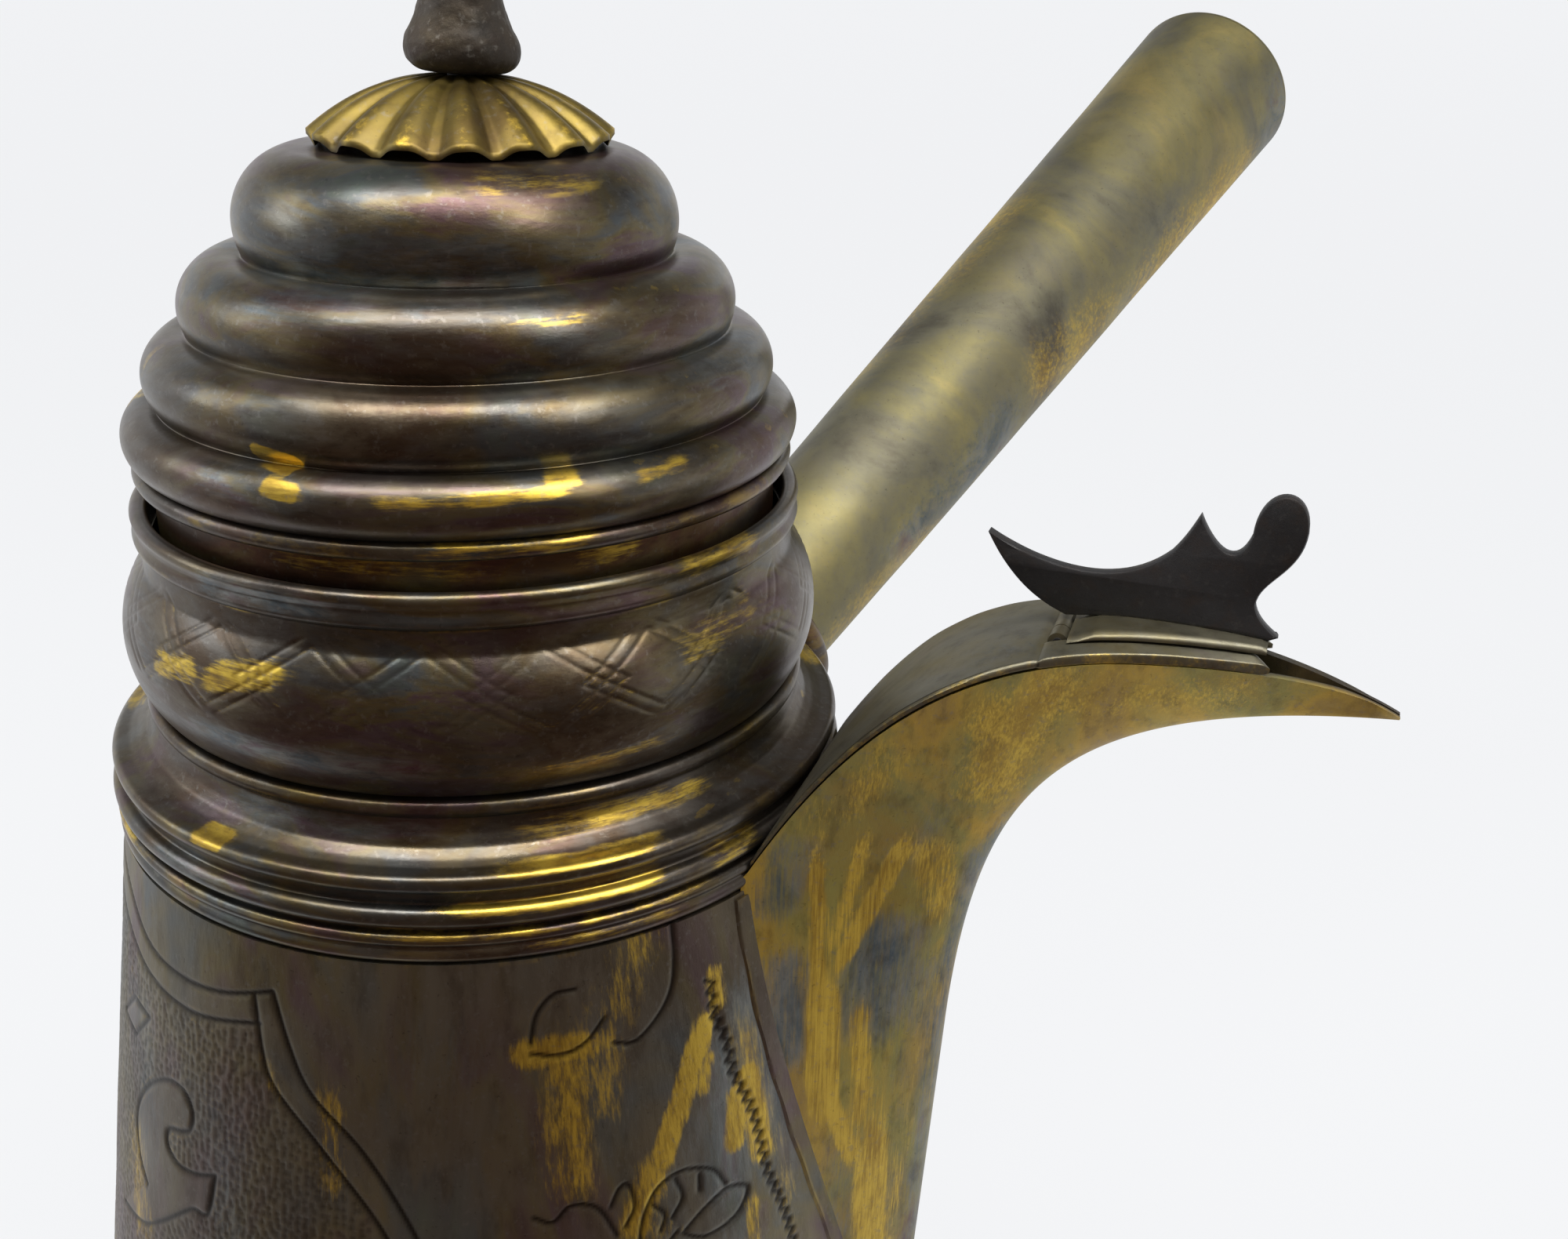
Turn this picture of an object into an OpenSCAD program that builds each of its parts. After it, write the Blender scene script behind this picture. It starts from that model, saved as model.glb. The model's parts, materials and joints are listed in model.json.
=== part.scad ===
// Brass coffee pot with a conical body, a folded beak spout with a flap,
// a tubular side handle and a ringed push-in lid under a fluted rosette.
// Millimetres. The origin is the centre of the flat base, +Z is up, the spout points along +X.

/* [Body] */
// Height of the conical body
body_h = 114.6; // [110:0.2:118]
// Outer radius of the body at the table
base_r = 58.5; // [56:0.5:62]
// Outer radius of the body under the shoulder
top_r = 41; // [40.8:0.1:41.2]
// Thickness of the sheet that the pot is raised from
sheet = 1.2; // [1:0.1:1.3]
// Radius of the wire around the foot
foot_wire_r = 1.6; // [1.2:0.1:2]
// Diameter of the pouring holes behind the spout
pour_hole_d = 3.4; // [2.6:0.2:3.8]

/* [Neck] */
// Height of the groove between shoulder and collar
groove_z = 130.2; // [130:0.1:130.4]
// Outer radius in the groove
groove_r = 35.2; // [35:0.1:35.4]
// Widest radius of the engraved collar
collar_r = 38.1; // [37.6:0.1:38.4]
// Height of the top of the lip
lip_top_z = 150.9; // [150:0.1:151.5]
// Radius of the roll along the lip
lip_roll_r = 0.95; // [0.8:0.05:1]

/* [Spout] */
// How far the tip of the beak reaches from the axis
tip_x = 99; // [97:0.5:101]
// Height of the tip of the beak
tip_z = 139; // [138:0.2:140]
// Half angle of the beak seen from above
beak_angle = 14.2; // [13:0.1:15]
// Where the spout's fold leaves the body
spout_foot = [54.1, 28.5];
// Distance from the axis to the flap's hinge pin
hinge_x = 66.4; // [66:0.1:67]
// Thickness of the spout's sheet
spout_sheet = 1; // [0.8:0.1:1.2]
// Thickness of the crest plate
crest_t = 1.5; // [1.2:0.1:2]

/* [Handle] */
// Angle from the spout to the handle, seen from above
handle_turn = 70; // [65:1:90]
// How far the handle rises above level
handle_rise = 26.5; // [24:0.5:28]
// Height at which the handle's line meets the pot's axis
handle_z = 92.9; // [91:0.1:95]
// Distance along the handle's line from the pot's axis to its end
handle_end = 200.4; // [180:0.2:210]
// Outer radius of the handle tube at its end
handle_end_r = 15; // [14:0.1:16]
// Outer radius of the handle tube 60 from the pot's axis
handle_root_r = 11.1; // [10.5:0.1:12]

/* [Lid] */
// Each bulge of the lid from the top: distance from the axis, height, radius of the bulge
lid_rings = [[15.3, 178.7, 7.4], [23.6, 170.6, 5.2], [28.75, 164, 4.2], [32.5, 158.1, 3.1]];
// Outer radius of the skirt that pushes into the neck
skirt_r = 33.3; // [33:0.05:33.4]
// Height of the lower edge of the skirt
skirt_z = 134.45; // [134.42:0.01:134.6]
// Number of flutes in the rosette
flutes = 16; // [12:1:20]
// Radius of the rosette
rosette_r = 15.1; // [14.6:0.1:15.3]
// How far the finial leans
finial_lean = 2.5; // [0:0.5:3]
// How far the finial's foot sits off the lid's centre
finial_shift = 0.8; // [0:0.1:1]

/* [Hidden] */

$fn = 96;
bronze = [0.33, 0.29, 0.24];
worn = [0.62, 0.52, 0.24];
ochre = [0.66, 0.53, 0.22];
gilt = [0.72, 0.6, 0.27];
iron = [0.16, 0.15, 0.16];

fit_gap = 0.05;        // between soldered or seated faces that only touch
bore_gap = 0.06;       // between the hinge pin and the flap's knuckle
beak_slope = tan(beak_angle);
cone_slope = (base_r - top_r) / body_h;
crown_z = lid_rings[0][1] + lid_rings[0][2];

function cone_r(z) = base_r - cone_slope * z;
function beak_w(x) = (tip_x - x) * beak_slope;

// A point on a cubic curve and a run of points along one
function bez(p, t) = pow(1 - t, 3) * p[0] + 3 * t * pow(1 - t, 2) * p[1]
                   + 3 * t * t * (1 - t) * p[2] + pow(t, 3) * p[3];
function curve(p, n) = [for (i = [0:n - 1]) bez(p, i / n)];

// A closed polyhedron between two grids of points with the same rows and columns
module sheet_between(top, bottom) {
    rows = len(top);
    cols = len(top[0]);
    count = rows * cols;
    points = concat([for (row = top) each row], [for (row = bottom) each row]);
    faces = concat(
        [for (i = [0:rows - 2], j = [0:cols - 2]) each [
            [i * cols + j, i * cols + j + 1, (i + 1) * cols + j + 1],
            [i * cols + j, (i + 1) * cols + j + 1, (i + 1) * cols + j]]],
        [for (i = [0:rows - 2], j = [0:cols - 2]) each [
            [count + i * cols + j, count + (i + 1) * cols + j + 1, count + i * cols + j + 1],
            [count + i * cols + j, count + (i + 1) * cols + j, count + (i + 1) * cols + j + 1]]],
        [for (i = [0:rows - 2]) each [
            [i * cols, (i + 1) * cols, count + (i + 1) * cols],
            [i * cols, count + (i + 1) * cols, count + i * cols]]],
        [for (i = [0:rows - 2]) each [
            [i * cols + cols - 1, count + (i + 1) * cols + cols - 1, (i + 1) * cols + cols - 1],
            [i * cols + cols - 1, count + i * cols + cols - 1, count + (i + 1) * cols + cols - 1]]],
        [for (j = [0:cols - 2]) each [
            [j, count + j + 1, j + 1], [j, count + j, count + j + 1]]],
        [for (j = [0:cols - 2]) let (a = (rows - 1) * cols + j) each [
            [a, a + 1, count + a + 1], [a, count + a + 1, count + a]]]);
    polyhedron(points, faces, convexity = 6);
}

// ---- Body ----

module body_shell() {
    color(bronze) difference() {
        rotate_extrude() polygon([
            [base_r, 0], [top_r, body_h], [top_r - sheet, body_h], [base_r - sheet, 0]]);
        pour_holes();
    }
}

// Five rows of holes, staggered, through the wall behind the spout
module pour_holes() {
    rows = 5;
    pitch = pour_hole_d * 1.7;
    for (i = [0:rows - 1]) {
        count = i % 2 == 0 ? 3 : 2;
        for (j = [0:count - 1])
            translate([30, (j - (count - 1) / 2) * pitch, 82 + i * pitch * 0.87])
                rotate([0, 90, 0]) cylinder(h = 24, d = pour_hole_d);
    }
}

module base_plate() {
    rim_h = 5;
    color(bronze) rotate_extrude() polygon([
        [0, 0], [cone_r(0) - sheet - fit_gap, 0], [cone_r(rim_h) - sheet - fit_gap, rim_h],
        [cone_r(rim_h) - 2 * sheet, rim_h], [cone_r(0) - 2 * sheet - 0.2, sheet], [0, sheet]]);
}

module foot_wire() {
    color(worn) rotate_extrude() difference() {
        translate([base_r + 0.4, foot_wire_r]) circle(r = foot_wire_r);
        polygon([[0, -1], [cone_r(-1), -1], [cone_r(6), 6], [0, 6]]);
    }
}

// ---- Shoulder and neck ----

shoulder_edge = [41, 124];       // crisp edge at the foot of the cove
// Beads turned on the shoulder from the neck down: distance from the axis, height, radius
shoulder_beads = [[35.7, 129, 1.1], [40.3, 119.7, 1.1], [40.5, 117.3, 0.75], [40.2, 115.65, 1]];

module shoulder_ring() {
    inner = top_r - sheet;
    color(worn) difference() {
        union() {
            rotate_extrude() polygon([
                [30, groove_z], [groove_r, groove_z], [36.6, 128.6], [37.9, 126.8], [39.3, 125.2],
                shoulder_edge, [40.5, 122.6], [40.4, 121], [40.6, body_h], [30, body_h]]);
            for (bead = shoulder_beads)
                rotate_extrude() translate([bead[0], bead[1]]) circle(r = bead[2]);
        }
        rotate_extrude() polygon([
            [0, body_h - 1], [inner, body_h - 1], [inner, 122], [groove_r - sheet, 127],
            [groove_r - sheet, groove_z + 1], [0, groove_z + 1]]);
    }
}

// The collar bulges as one arc between the groove and the narrowing under the lip
collar_bulge = 11.5;             // radius of that arc
collar_mid_z = 137;
module collar_outline(inset) {
    intersection() {
        union() {
            translate([collar_r - collar_bulge, collar_mid_z]) circle(r = collar_bulge - inset);
            polygon([[20, groove_z], [groove_r - inset, groove_z], [groove_r + 1 - inset, 134],
                     [35.3 - inset, 144], [34.9 - inset, 147.2], [20, 147.2]]);
        }
        translate([20, groove_z - inset]) square([30, 147.2 - groove_z + 2 * inset]);
    }
}

module neck_collar() {
    color(bronze) rotate_extrude() difference() {
        collar_outline(0);
        collar_outline(sheet);
        square([groove_r - sheet, 200]);
    }
}

module lip_roll() {
    r_mid = 35;
    low_z = 147.2;
    color(worn) rotate_extrude() {
        translate([r_mid, lip_top_z - lip_roll_r]) circle(r = lip_roll_r);
        translate([r_mid - lip_roll_r, low_z + lip_roll_r])
            square([2 * lip_roll_r, lip_top_z - low_z - 2 * lip_roll_r]);
        translate([r_mid - lip_roll_r, low_z]) square([lip_roll_r, 2 * lip_roll_r]);
        intersection() {
            translate([r_mid, low_z + lip_roll_r]) circle(r = lip_roll_r);
            translate([r_mid, low_z]) square([2, 3]);
        }
    }
}

// Inner sleeve of the soldered neck joint; its upper edge carries the lid's skirt
sleeve_top = 134.4;
module neck_sleeve() {
    wall = 1.8;
    color(bronze) translate([0, 0, 127.5]) difference() {
        cylinder(h = sleeve_top - 127.5, r = groove_r - sheet);
        translate([0, 0, -1]) cylinder(h = 20, r = groove_r - sheet - wall);
    }
}

// ---- Spout ----

fold_low = [57.4, 94];           // end of the straight run of the fold
fold_steps = 26;                 // stations along the curved run
wall_cols = 10;                  // columns from the fold to one edge
// The fold of the sheet: straight up the body, then a curve out to the tip
fold_curve = [fold_low, [59.4, 122.9], [65.7, 135.4], [tip_x, tip_z - 0.5]];
// The two upper edges of the channel, as distance from the axis and height
edge_low = [[37.9, 116], [46.5, 131.4], [56, 142.8], [75, 142.8]];
edge_high = [[75, 142.8], [83, 142.9], [92.5, 142.3], [tip_x, tip_z]];
// Half width of the spout where it meets the body, by height
seam_top_z = 117;
function seam_w(z) = bez([0.5, 6, 17.5, 15.6], (z - spout_foot[1]) / (seam_top_z - spout_foot[1]));
function edge_at(t) = t < 0.6 ? bez(edge_low, t / 0.6) : bez(edge_high, (t - 0.6) / 0.4);

// One station is a fold point [x, z] and an edge point [x, half width, z]. Up to the shoulder
// the edges follow the body, sunk a little into it, and the fold is straight at first.
sink = 0.4;
low_steps = 12;
mid_steps = 4;
mid_t = 0.3;                     // how far along the fold's curve the shoulder is reached
function seam_point(z) = let (w = seam_w(z), r = cone_r(min(z, body_h - 1.6)) - sink)
    [sqrt(r * r - w * w), w, z];
low_rows = [for (i = [0:low_steps]) let (k = i / low_steps)
    [spout_foot + (fold_low - spout_foot) * k * 0.98,
     seam_point(spout_foot[1] + (fold_low[1] - 2 - spout_foot[1]) * k)]];
mid_rows = [for (i = [1:mid_steps]) let (t = i / mid_steps)
    [bez(fold_curve, mid_t * t), seam_point(fold_low[1] - 2 + 24 * t)]];
top_rows = [for (i = [1:fold_steps]) let (t = i / fold_steps, e = edge_at(t))
    [bez(fold_curve, mid_t + (1 - mid_t) * t), [e[0], max(beak_w(e[0]), 0.75), e[1]]]];
spout_rows = concat(low_rows, mid_rows, top_rows);

// Across a station the sheet runs from one edge round the fold to the other edge
fold_round = 0.22;
function fold_blend(v) = (sqrt(v * v + fold_round * fold_round) - fold_round)
    / (sqrt(1 + fold_round * fold_round) - fold_round);
function wall_row(row, inset) = let (f = row[0], e = row[1],
        dir = [e[0] - f[0], e[2] - f[1]], run = max(norm(dir), 0.01),
        lift = dir / run * min(inset * 1.6, run * 0.45),
        w = max(e[1] - inset * 1.04, e[1] * 0.25))
    [for (j = [-wall_cols:wall_cols]) let (v = j / wall_cols, k = fold_blend(v))
        [f[0] + lift[0] + (e[0] - f[0] - lift[0]) * k, w * v,
         f[1] + lift[1] + (e[2] - f[1] - lift[1]) * k]];

module spout_channel() {
    color(ochre) sheet_between([for (row = spout_rows) wall_row(row, 0)],
                               [for (row = spout_rows) wall_row(row, spout_sheet)]);
}

// Height of the channel's upper edge at a distance from the axis
function edge_z(x, lo = 0, hi = 1, n = 18) = let (mid = (lo + hi) / 2, e = edge_at(mid))
    n == 0 ? e[1] : e[0] < x ? edge_z(x, mid, hi, n - 1) : edge_z(x, lo, mid, n - 1);

// Where the cover's edge at fraction v of its width meets a cylinder around the neck
function cover_start(v, r) = let (k = v * v * beak_slope * beak_slope,
        a = 1 + k, b = -2 * tip_x * k, c = k * tip_x * tip_x - r * r)
    (-b + sqrt(b * b - 4 * a * c)) / (2 * a);

cover_gap = 0.08;
cover_crown = 0.8;
function cover_z(x, v) = edge_z(x) + cover_gap + cover_crown * (1 - v * v);
barrel_r = 1;                    // radius of the hinge's knuckles
cover_end = hinge_x - barrel_r;
cover_cols = 8;
rail_v = 0.58;                   // inner edge of the rails, as a part of the spout's half width
function rail_end(v) = 86 + 3.6 * v;

// A plate between two stations, over part of the spout's width, one sheet thick
module top_plate(x_at, v0, v1, cols, rows) {
    grid = [for (i = [0:rows]) [for (j = [0:cols]) let (v = v0 + (v1 - v0) * j / cols,
        x = x_at(v, i / rows)) [x, v * beak_w(x), cover_z(x, v)]]];
    sheet_between([for (row = grid) [for (p = row) p + [0, 0, spout_sheet]]], grid);
}

// The fixed top: a plate from the neck to the hinge, and a rail along each side of the beak
module spout_cover() {
    behind = function (v, t) cover_start(v, 41.5) + (cover_end - cover_start(v, 41.5)) * t;
    along = function (v, t) cover_end - 0.4 + (rail_end(abs(v)) - cover_end + 0.4) * t;
    color(worn) difference() {
        union() {
            top_plate(behind, -1, 1, 2 * cover_cols, 14);
            top_plate(along, rail_v, 1, 4, 14);
            top_plate(along, -1, -rail_v, 4, 14);
        }
        translate([hinge_x, 0, hinge_z]) cube([2 * barrel_r + 0.8, 2 * knuckle_half + 0.3, 6], center = true);
    }
}

// ---- Flap ----

pin_r = 0.5;
hinge_z = edge_z(hinge_x) + cover_gap + 1.1;
knuckle_half = 2;                // half length of the flap's own knuckle
barrel_half = 4.4;               // half length of the whole hinge

module barrel(y0, y1, bore_r) {
    translate([hinge_x, y1, hinge_z]) rotate([90, 0, 0]) difference() {
        cylinder(h = y1 - y0, r = barrel_r);
        translate([0, 0, -1]) cylinder(h = y1 - y0 + 2, r = bore_r);
    }
}

module cover_knuckles() {
    color(worn) {
        barrel(-barrel_half, -knuckle_half - 0.15, pin_r);
        barrel(knuckle_half + 0.15, barrel_half, pin_r);
    }
}

module flap_pin() {
    color(iron) translate([hinge_x, barrel_half + 0.2, hinge_z]) rotate([90, 0, 0])
        cylinder(h = 2 * barrel_half + 0.4, r = pin_r);
}

module flap_knuckle() {
    color(worn) barrel(-knuckle_half, knuckle_half, pin_r + bore_gap);
}

// The flap lies on the rails and closes the opening between them
flap_start = hinge_x + barrel_r;
flap_v = 0.72;                   // half width of the flap, as a part of the spout's half width
flap_end = 86;
function flap_z(x, v) = edge_z(x) + cover_gap + cover_crown + spout_sheet + 0.12
    - 0.3 * v * v;

module spout_flap() {
    rows = 14;
    cols = 6;
    grid = [for (i = [0:rows]) [for (j = [-cols:cols]) let (v = flap_v * j / cols,
        x = flap_start + (flap_end - flap_start) * i / rows) [x, v * beak_w(x), flap_z(x, v)]]];
    color(worn) difference() {
        sheet_between([for (row = grid) [for (p = row) p + [0, 0, spout_sheet]]], grid);
        for (side = [-1, 1])
            translate([hinge_x, side * (knuckle_half + 5.1), hinge_z])
                cube([2 * barrel_r + 0.8, 10, 8], center = true);
    }
}

// Crest: tail over the hinge, a spike, and a rounded head, cut from flat plate
function crest_base(x) = flap_z(x, 0) + spout_sheet;
crest_points = concat(
    curve([[58, 152.3], [63.5, 149.6], [71, 147.6], [75.9, 152.6]], 10),
    curve([[75.9, 152.6], [77, 154], [77.6, 155.4], [78.2, 156.7]], 3),
    curve([[78.2, 156.7], [79.3, 154.4], [81.8, 151], [83.1, 155.2]], 8),
    curve([[83.1, 155.2], [83.2, 160.7], [88, 160.8], [88.1, 156.2]], 9),
    curve([[88.1, 156.2], [88, 152], [84.4, 151], [84.3, 148.4]], 7),
    curve([[84.3, 148.4], [84.6, 146.8], [86, 145.9], [87.2, crest_base(86) + 0.05]], 5),
    [[86, crest_base(86)], [80, crest_base(80)], [74, crest_base(74)],
     [flap_start + 0.2, crest_base(flap_start + 0.2)]],
    curve([[hinge_x, crest_base(hinge_x)], [63.4, 145.6], [60.4, 147.6], [58, 152.3]], 8));

module flap_crest() {
    color(iron) translate([0, crest_t / 2, 0]) rotate([90, 0, 0])
        linear_extrude(crest_t) polygon(crest_points);
}

// ---- Handle ----

handle_taper = (handle_end_r - handle_root_r) / (handle_end - 60);
function handle_r(s) = handle_root_r + handle_taper * (s - 60);

// Stands an upright part on the handle's line, at a distance along it from the pot's axis
module on_handle(s) {
    translate([0, 0, handle_z]) rotate([0, 0, handle_turn]) rotate([0, 90 - handle_rise, 0])
        translate([0, 0, s]) children();
}

// The space that the pot fills, which the handle's root is cut to fit against
module pot_outside(gap) {
    cylinder(h = body_h, r1 = base_r + gap, r2 = top_r + gap);
    translate([0, 0, body_h]) cylinder(h = 9.6, r = 41.4 + gap);
    translate([0, 0, body_h + 9.6]) cylinder(h = 6, r1 = 41.2 + gap, r2 = groove_r + gap);
    translate([0, 0, groove_z]) cylinder(h = 30, r = collar_r + gap);
}

module handle_tube() {
    root = 34;
    color(worn) difference() {
        on_handle(root) difference() {
            cylinder(h = handle_end - root, r1 = handle_r(root), r2 = handle_r(handle_end));
            translate([0, 0, -1]) cylinder(h = handle_end - root + 2,
                r1 = handle_r(root - 1) - sheet, r2 = handle_r(handle_end + 1) - sheet);
        }
        pot_outside(fit_gap);
    }
}

module handle_root_collar() {
    s = 50;
    color(bronze) difference() {
        on_handle(s) rotate_extrude() intersection() {
            translate([handle_r(s) + 0.2, 3]) circle(r = 2.6);
            translate([handle_r(s) + 0.3, -5]) square([10, 16]);
        }
        pot_outside(0.2);
    }
}

// Half-round rim soldered on the end of the tube, flush with its outside
module handle_end_ring() {
    ring_r = 1.2;
    color(worn) on_handle(handle_end + fit_gap) rotate_extrude() intersection() {
        translate([handle_end_r - ring_r, 0]) circle(r = ring_r);
        square([handle_end_r + 5, 10]);
    }
}

module handle_end_cap() {
    rise = 3;
    seat = 4;                    // how far up the tube the cap reaches
    r = handle_r(handle_end - seat) - sheet - fit_gap;
    dome = (r * r + rise * rise) / (2 * rise);
    color(bronze) on_handle(handle_end - seat) {
        difference() {
            cylinder(h = 3, r = r);
            translate([0, 0, -1]) cylinder(h = 5, r = r - sheet);
        }
        rotate_extrude() intersection() {
            difference() {
                translate([0, 3 + rise - dome]) circle(r = dome);
                translate([0, 3 + rise - dome]) circle(r = dome - sheet);
            }
            translate([0, 3]) square([r, rise + 2]);
        }
    }
}

// ---- Lid ----

// The bulges and the cone that joins them, drawn in by the sheet's thickness for the inside
crown_rise = 0.6;                // how far the middle of the crown stands above the first bulge
module lid_solid(inset) {
    first = lid_rings[0];
    last = lid_rings[3];
    r = first[2] - inset;
    rotate_extrude() polygon([
        [0, crown_z + crown_rise - inset], [first[0] + r * sin(12), first[1] + r * cos(12)],
        [lid_rings[1][0] - inset, lid_rings[1][1]], [lid_rings[2][0] - inset, lid_rings[2][1]],
        [last[0] - inset, last[1]], [last[0] - inset, skirt_z], [0, skirt_z]]);
    for (ring = lid_rings)
        rotate_extrude() translate([ring[0], ring[1]]) circle(r = ring[2] - inset);
}

lid_edge_z = 156.9;              // how far up inside the dome the skirt reaches
module lid_dome() {
    color(bronze) difference() {
        lid_solid(0);
        lid_solid(sheet);
        translate([0, 0, skirt_z - 1]) cylinder(h = lid_edge_z + 1 - skirt_z, r = skirt_r + fit_gap);
        finial_pose() translate([0, 0, crown_z - 5]) cylinder(h = 10, r = 2);
    }
}

lid_bead_at = [34.05, 154.5];    // centre of the wire under the last bulge
module lid_bead() {
    ring = lid_rings[3];
    color(worn) rotate_extrude() difference() {
        translate(lid_bead_at) circle(r = 0.95);
        translate([ring[0], ring[1]]) circle(r = ring[2]);
        square([skirt_r + fit_gap, 200]);
    }
}

module lid_skirt() {
    color(worn) translate([0, 0, skirt_z]) difference() {
        cylinder(h = lid_edge_z - skirt_z - fit_gap, r = skirt_r);
        translate([0, 0, -1]) cylinder(h = 40, r = skirt_r - 1);
    }
}

// ---- Rosette and finial ----

finial_bearing = 30;             // direction in which the finial is shifted and leans
module on_crown() {
    rotate([0, 0, finial_bearing]) translate([finial_shift, 0, crown_z]) children();
}

module finial_pose() {
    on_crown() rotate([0, finial_lean, 0]) translate([0, 0, -crown_z]) children();
}

rosette_top = 6.8;               // height of the rosette above the crown
rosette_drop = 5.7;
rosette_t = 0.5;
function rosette_point(r, a, lift) = let (k = r / rosette_r, wave = cos(flutes * a))
    [(r + 0.35 * wave * k) * cos(a), (r + 0.35 * wave * k) * sin(a),
     rosette_top - rosette_drop * pow(k, 2.3) + 0.5 * wave * pow(k, 1.4) + lift];

module rosette() {
    bore = 2.2;
    rows = 7;
    steps = flutes * 10;
    function ring(i, lift) = [for (j = [0:steps - 1])
        rosette_point(bore + (rosette_r - bore) * i / rows, 360 * j / steps, lift)];
    points = concat([for (i = [0:rows]) each ring(i, 0)], [for (i = [0:rows]) each ring(i, -rosette_t)]);
    under = (rows + 1) * steps;
    function quad(a, b, c, d) = [[a, b, c], [a, c, d]];
    faces = concat(
        [for (i = [0:rows - 1], j = [0:steps - 1]) let (k = (j + 1) % steps)
            each quad(i * steps + j, i * steps + k, (i + 1) * steps + k, (i + 1) * steps + j)],
        [for (i = [0:rows - 1], j = [0:steps - 1]) let (k = (j + 1) % steps)
            each quad(under + i * steps + j, under + (i + 1) * steps + j,
                      under + (i + 1) * steps + k, under + i * steps + k)],
        [for (j = [0:steps - 1]) let (k = (j + 1) % steps, a = rows * steps)
            each quad(a + j, a + k, under + a + k, under + a + j)],
        [for (j = [0:steps - 1]) let (k = (j + 1) % steps)
            each quad(k, j, under + j, under + k)]);
    color(gilt) on_crown() polyhedron(points, faces, convexity = 8);
}

finial_foot = crown_z + rosette_top + 0.05;
finial_h = 31;
module finial() {
    bulb_z = finial_foot + 2.3;
    color(iron) finial_pose() difference() {
        rotate_extrude() intersection() {
            union() {
                translate([2.6, bulb_z]) circle(r = 3.3);
                polygon([[0, finial_foot], [3.6, finial_foot], [5.2, bulb_z + 2], [4.3, bulb_z + 4.4],
                         [3.7, bulb_z + 7], [2.6, bulb_z + 11], [2.5, bulb_z + 15.6],
                         [1.8, bulb_z + 18.6], [2.6, bulb_z + 21.5], [2.4, bulb_z + 23.5],
                         [1.3, bulb_z + 26.5], [0, finial_foot + finial_h]]);
                translate([1.3, bulb_z + 13.4]) circle(r = 3.1);
            }
            translate([0, finial_foot]) square([10, finial_h]);
        }
        translate([0, 0, finial_foot - 1]) cylinder(h = 9, r = 1.5);
    }
}

module finial_stud() {
    low = crown_z - 6.2;
    color(bronze) finial_pose() translate([0, 0, low]) cylinder(h = finial_foot + 7.5 - low, r = 1.5);
}

module finial_washer() {
    color(bronze) finial_pose() translate([0, 0, crown_z - sheet - 1.25]) difference() {
        cylinder(h = 1, r = 5);
        translate([0, 0, -1]) cylinder(h = 4, r = 1.6);
    }
}

module finial_nut() {
    color(bronze) finial_pose() translate([0, 0, crown_z - sheet - 4]) difference() {
        cylinder(h = 2.7, r = 3.4, $fn = 6);
        translate([0, 0, -1]) cylinder(h = 6, r = 1.5);
    }
}

body_shell();
base_plate();
foot_wire();
shoulder_ring();
neck_collar();
lip_roll();
neck_sleeve();
spout_channel();
spout_cover();
cover_knuckles();
flap_pin();
spout_flap();
flap_knuckle();
flap_crest();
handle_root_collar();
handle_tube();
handle_end_ring();
handle_end_cap();
lid_dome();
lid_bead();
lid_skirt();
rosette();
finial();
finial_stud();
finial_washer();
finial_nut();
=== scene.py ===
"""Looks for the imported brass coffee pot: engraved body, ringed lid, folded spout, side handle.

Lengths in this file are millimetres in the frame's axes, and MM turns them into Blender's metres.
Angles around the pot are degrees from the spout, counted towards the handle.
"""

import json

import bmesh
import bpy
import numpy as np
from mathutils import Matrix, Vector
from mathutils.geometry import tessellate_polygon

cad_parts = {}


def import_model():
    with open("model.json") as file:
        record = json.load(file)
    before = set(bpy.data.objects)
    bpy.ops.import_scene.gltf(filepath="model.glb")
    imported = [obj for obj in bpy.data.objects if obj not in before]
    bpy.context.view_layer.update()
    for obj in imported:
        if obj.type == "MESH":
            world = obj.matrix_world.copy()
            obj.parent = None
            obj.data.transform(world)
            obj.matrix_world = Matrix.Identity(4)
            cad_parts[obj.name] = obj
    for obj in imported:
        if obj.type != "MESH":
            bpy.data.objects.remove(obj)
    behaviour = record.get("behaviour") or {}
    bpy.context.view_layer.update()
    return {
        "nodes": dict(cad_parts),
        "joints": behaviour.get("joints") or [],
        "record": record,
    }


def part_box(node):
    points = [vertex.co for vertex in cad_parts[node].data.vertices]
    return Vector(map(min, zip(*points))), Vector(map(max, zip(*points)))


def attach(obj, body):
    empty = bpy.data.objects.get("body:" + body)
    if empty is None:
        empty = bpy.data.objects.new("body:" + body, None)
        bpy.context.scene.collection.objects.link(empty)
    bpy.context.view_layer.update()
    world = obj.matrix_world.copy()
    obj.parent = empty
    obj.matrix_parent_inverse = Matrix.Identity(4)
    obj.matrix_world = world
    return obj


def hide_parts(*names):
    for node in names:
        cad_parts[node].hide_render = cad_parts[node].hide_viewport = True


MM = 0.001
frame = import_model()


def box_mm(node):
    """Lowest and highest corner of a CAD node, in millimetres."""
    low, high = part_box(node)
    return np.array(low) / MM, np.array(high) / MM


# ---- Driving sizes, read from the frame where it holds them ----

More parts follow.
